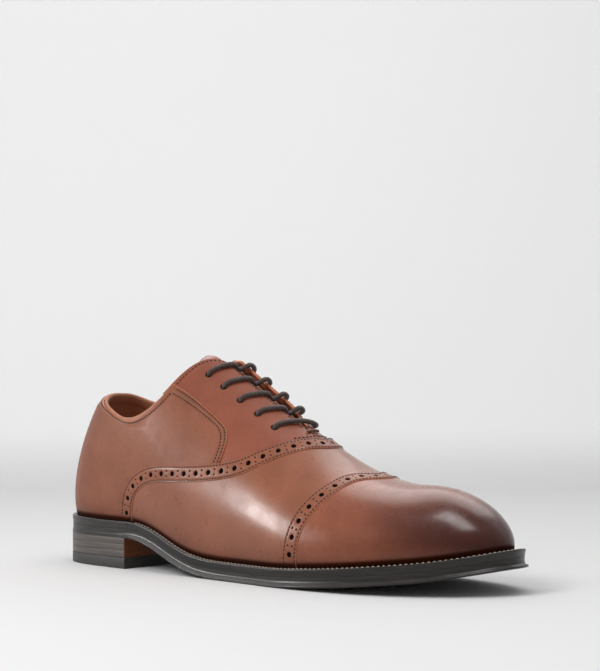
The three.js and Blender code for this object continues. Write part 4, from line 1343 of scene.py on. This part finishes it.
# A bar of the lace from the outer eyelet to the inner one: shares of the eyelets' place, and heights
LACE_BAR = (
    (-1, 0.9), (-0.995, 3.2), (-0.93, 4.5), (-0.8, 4.95), (-0.5, 5.1), (-0.26, 5.0), (-0.16, 3.9),
    (-0.06, 1.7), (0.04, 1.9), (0.13, 4.5), (0.2, 6.5), (0.3, 7.2), (0.45, 7.1), (0.6, 6.5), (0.78, 5.5),
    (0.93, 4.6), (0.995, 3.2), (1, 0.9),
)
LAST_BAR = (
    (-1, 0.9), (-0.995, 3.2), (-0.93, 4.5), (-0.8, 4.95), (-0.4, 5.1), (0, 5.3), (0.3, 5.8), (0.5, 5.7),
    (0.7, 5.4), (0.85, 5.0), (0.93, 4.6), (0.995, 3.2), (1, 0.9),
)
BOW = (0.034, 0.034, 0.034, 0.032, 0.028)
LACE_INSIDE = -2.1


def lacing():
    """One cord: straight bars outside that arch over each facing, short runs inside."""
    path = []

    def inside(q, side, reach):
        path.append(on_form(q, side * reach * EYELET_W, LACE_INSIDE))

    inside(EYELETS[0] + 0.025, -1, 1.45)
    inside(EYELETS[0] + 0.01, -1, 1.12)
    for i, q in enumerate(EYELETS):
        side = 1 if i % 2 else -1
        bar = LAST_BAR if i == len(EYELETS) - 1 else LACE_BAR
        path.append(on_form(q, side * EYELET_W, -0.6))
        for share, height in bar[::-side]:
            bow = BOW[i] * (1 - share * share) * (1 + 0.5 * share)
            path.append(on_form(q + bow, share * EYELET_W, height))
        path.append(on_form(q, -side * EYELET_W, -0.6))
        if i + 1 < len(EYELETS):
            for t in (0.2, 0.5, 0.8):
                inside(mix(q, EYELETS[i + 1], t), -side, 1.02)
        else:
            inside(q - 0.008, -side, 1.1)
            inside(q - 0.02, -side, 1.45)
    cord_piece("lace_cord", path, LACE_R, lace_material, stands_for=("lace",), slot="waxed_lace")


def throat():
    """Bar tack across the foot of the lacing gap, and the short stitch arc below it."""
    path = [on_form(0.611, w, FACING[1] + 0.95) for w in (-0.062, -0.03, 0.03, 0.062)]
    keys = {"stands_for": ("bar_tack",), "slot": "thread"}
    cord_piece("bar_tack_thread", path, 0.75, thread_tack, step=0.15, weave=0.12, **keys)
    w = np.linspace(-0.2, 0.2, 80)
    q = 0.622 - 0.5 * w * w
    rows = [row_of_stitches(q, w, FACING[1] + 0.02, 2.4, 1.9)]
    thread_piece("stitching_throat", joined(rows), thread_dark, slot="thread")


def bottom():
    sole_piece("outsole_leather", sole_material, stands_for=("outsole",), slot="sole_leather")
    strips = (("welt", WELT_JOINT, 1, 521), ("heel_rand", WELT_JOINT - RAND_GAP, 0, 241))
    for name, start, turn, count in strips:
        keys = {"stands_for": (name,), "slot": "sole_leather"}
        rand_piece(f"{name}_leather", start, turn, count, sole_material, **keys)
    welt_stitches()
    seat = WELT_TOP + GAP
    sock = seat + INSOLE + GAP
    card = board("insole_board", srgb(176, 146, 108), srgb(140, 110, 78))
    keys = {"stands_for": ("insole",), "slot": "insole_board"}
    bed_piece("insole_board", 0.7, seat, seat + INSOLE, card, **keys)
    keys = {"stands_for": ("sock_liner",), "slot": "lining_leather"}
    bed_piece("sock_liner_leather", 1.4, sock, sock + SOCK, lining_calf, dish=0.3, **keys)


def welt_stitches():
    """Lock stitches along the welt in pale thread, lying in the groove along the welt."""
    q = np.linspace(0.275, 0.9995, 900)
    rows = [rim_points(side, t, -WELT_ROW, WELT_TOP - 0.32) for side, t in ((-1, q), (1, q[::-1]))]
    p = np.concatenate(rows)
    length = run_length(p)
    run = unit(np.gradient(p, axis=0))
    up = unit(np.cross(run, np.stack([-run[:, 1], run[:, 0], 0 * run[:, 0]], -1)))
    up = np.where(up[:, 2:] < 0, -up, up)
    count = int(length[-1] / WELT_PITCH)
    at = (np.arange(count) + 0.5) * length[-1] / count
    centre, run, up = [picked(at, length, a) for a in (p, run, up)]
    across = np.cross(up, run)
    run = unit(run + 0.22 * across)
    stitches = [centre, run, unit(up), np.full(count, WELT_STITCH)]
    thread_piece("stitching_welt", stitches, thread_light, radius=0.34, slot="thread")


def heel():
    keys = {"stands_for": ("top_piece",), "slot": "top_piece_rubber"}
    heel_layer("top_piece_rubber", 0, TOP_PIECE, rubber_material, 0.7, **keys)
    stack = TOP_PIECE + 0.1
    span = (HEEL_SEAT_Z - stack) / LIFTS
    for i in range(LIFTS):
        keys = {"stands_for": (f"heel_lift_{i + 1}",), "slot": "heel_stack"}
        low, high = stack + i * span, stack + (i + 1) * span - LIFT_SEAM
        heel_layer(f"heel_lift_{i + 1}_leather", low, high, stack_material, 0.16, **keys)


# ---- studio ----
CAMERA_TURN = math.radians(40.6)
CAMERA_DISTANCE = 0.76
CAMERA_HEIGHT = 0.0826
WALL_DISTANCE = 1.0
SENSOR = 36
LENS = 74.2426
LENS_SHIFT = (0.04918, 0.130104)
AIM_AHEAD = 145
SWEEP_RADIUS = 0.06


def studio():
    away = Vector((math.sin(CAMERA_TURN), -math.cos(CAMERA_TURN), 0))
    target = Vector(((AIM_AHEAD - ORIGIN[0]) * METRE, -ORIGIN[1] * METRE, 0))
    lens = bpy.data.cameras.new("camera")
    lens.sensor_fit = "VERTICAL"
    lens.sensor_height = SENSOR
    lens.sensor_width = SENSOR
    lens.lens = LENS
    lens.shift_x, lens.shift_y = LENS_SHIFT
    camera = placed("camera", lens)
    camera.location = target + away * CAMERA_DISTANCE + Vector((0, 0, CAMERA_HEIGHT))
    camera.rotation_euler = (-away).to_track_quat("-Z", "Y").to_euler()
    bpy.context.scene.camera = camera

    turn = Vector((away.y, -away.x, 0))
    profile = [(3.0, 0.0), (-0.9 * WALL_DISTANCE, 0.0)]
    for angle in np.linspace(0, math.pi / 2, 9):
        along = -WALL_DISTANCE + SWEEP_RADIUS * (1 - math.sin(angle))
        profile.append((along, SWEEP_RADIUS * (1 - math.cos(angle))))
    profile.append((-WALL_DISTANCE, 3.0))
    points, faces = [], []
    for along, height in profile:
        for across in (-4, 4):
            points.append(target + away * along + turn * across + Vector((0, 0, height)))
    for k in range(len(profile) - 1):
        faces.append((2 * k, 2 * k + 1, 2 * k + 3, 2 * k + 2))
    mesh = bpy.data.meshes.new("sweep")
    mesh.from_pydata([tuple(p) for p in points], [], faces)
    mesh.polygons.foreach_set("use_smooth", np.ones(len(faces), bool))
    look = Look("studio_white")
    glow = look.map(look.part(look.place, "Z"), 0.0, 0.08, 0.0, 0.19)
    keys = {"specular_ior_level": 0.0, "emission_color": (1, 1, 1, 1), "emission_strength": glow}
    mesh.materials.append(look.finish((0.8, 0.8, 0.8, 1), 0.8, **keys))
    placed("sweep", mesh)

    def softbox(name, azimuth, elevation, distance, size, power, lights):
        """A soft light, seen only in reflections or only as illumination."""
        a, e = math.radians(azimuth), math.radians(elevation)
        direction = Vector((math.sin(a) * math.cos(e), -math.cos(a) * math.cos(e), math.sin(e)))
        data = bpy.data.lights.new(name, "AREA")
        data.shape = "RECTANGLE"
        data.size, data.size_y = size
        data.energy = power
        lamp = placed(name, data)
        lamp.location = target + direction * distance
        lamp.rotation_euler = (-direction).to_track_quat("-Z", "Y").to_euler()
        lamp.visible_diffuse = lights == "fill"
        lamp.visible_glossy = lights == "sheen"

    softbox("key", -10, 40, 1.3, (0.5, 0.5), 7, "fill")
    softbox("overhead", 40, 80, 1.3, (1.4, 1.4), 6.5, "fill")
    softbox("side_strip", -48, 20, 1.2, (0.11, 0.3), 6.0, "sheen")
    softbox("toe_strip", 84, 62, 0.9, (0.26, 0.6), 4.4, "sheen")
    softbox("back_strip", -150, 54, 0.93, (1.3, 0.55), 4.6, "sheen")
    world = bpy.data.worlds.new("studio")
    world.use_nodes = True
    world.node_tree.nodes["Background"].inputs["Color"].default_value = (1, 1, 1, 1)
    world.node_tree.nodes["Background"].inputs["Strength"].default_value = 0.42
    bpy.context.scene.world = world
    bpy.context.scene.view_settings.view_transform = "Standard"


def hidden_pieces():
    """Finishes for the CAD pieces that stay: shank, filler, stiffeners, eyelets and nails."""
    steel = metal("steel", srgb(150, 152, 156))
    brass = metal("blind_eyelet_metal", srgb(128, 104, 66))
    cork = board("cork", srgb(150, 112, 72), srgb(86, 58, 34), 900)
    stiff = board("stiffener_board", srgb(206, 192, 160), srgb(170, 152, 118))
    looks = {"shank": steel, "heel_nail": steel, "eyelet": brass, "cork_filler": cork}
    looks |= {"toe_puff": stiff, "heel_counter": stiff}
    for name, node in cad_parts.items():
        for start, material in looks.items():
            if name.startswith(start):
                for place in range(len(node.data.materials)):
                    node.data.materials[place] = material


upper()
vamp_and_cap()
topline_binding()
tongue()
lacing()
throat()
bottom()
heel()
hidden_pieces()
studio()
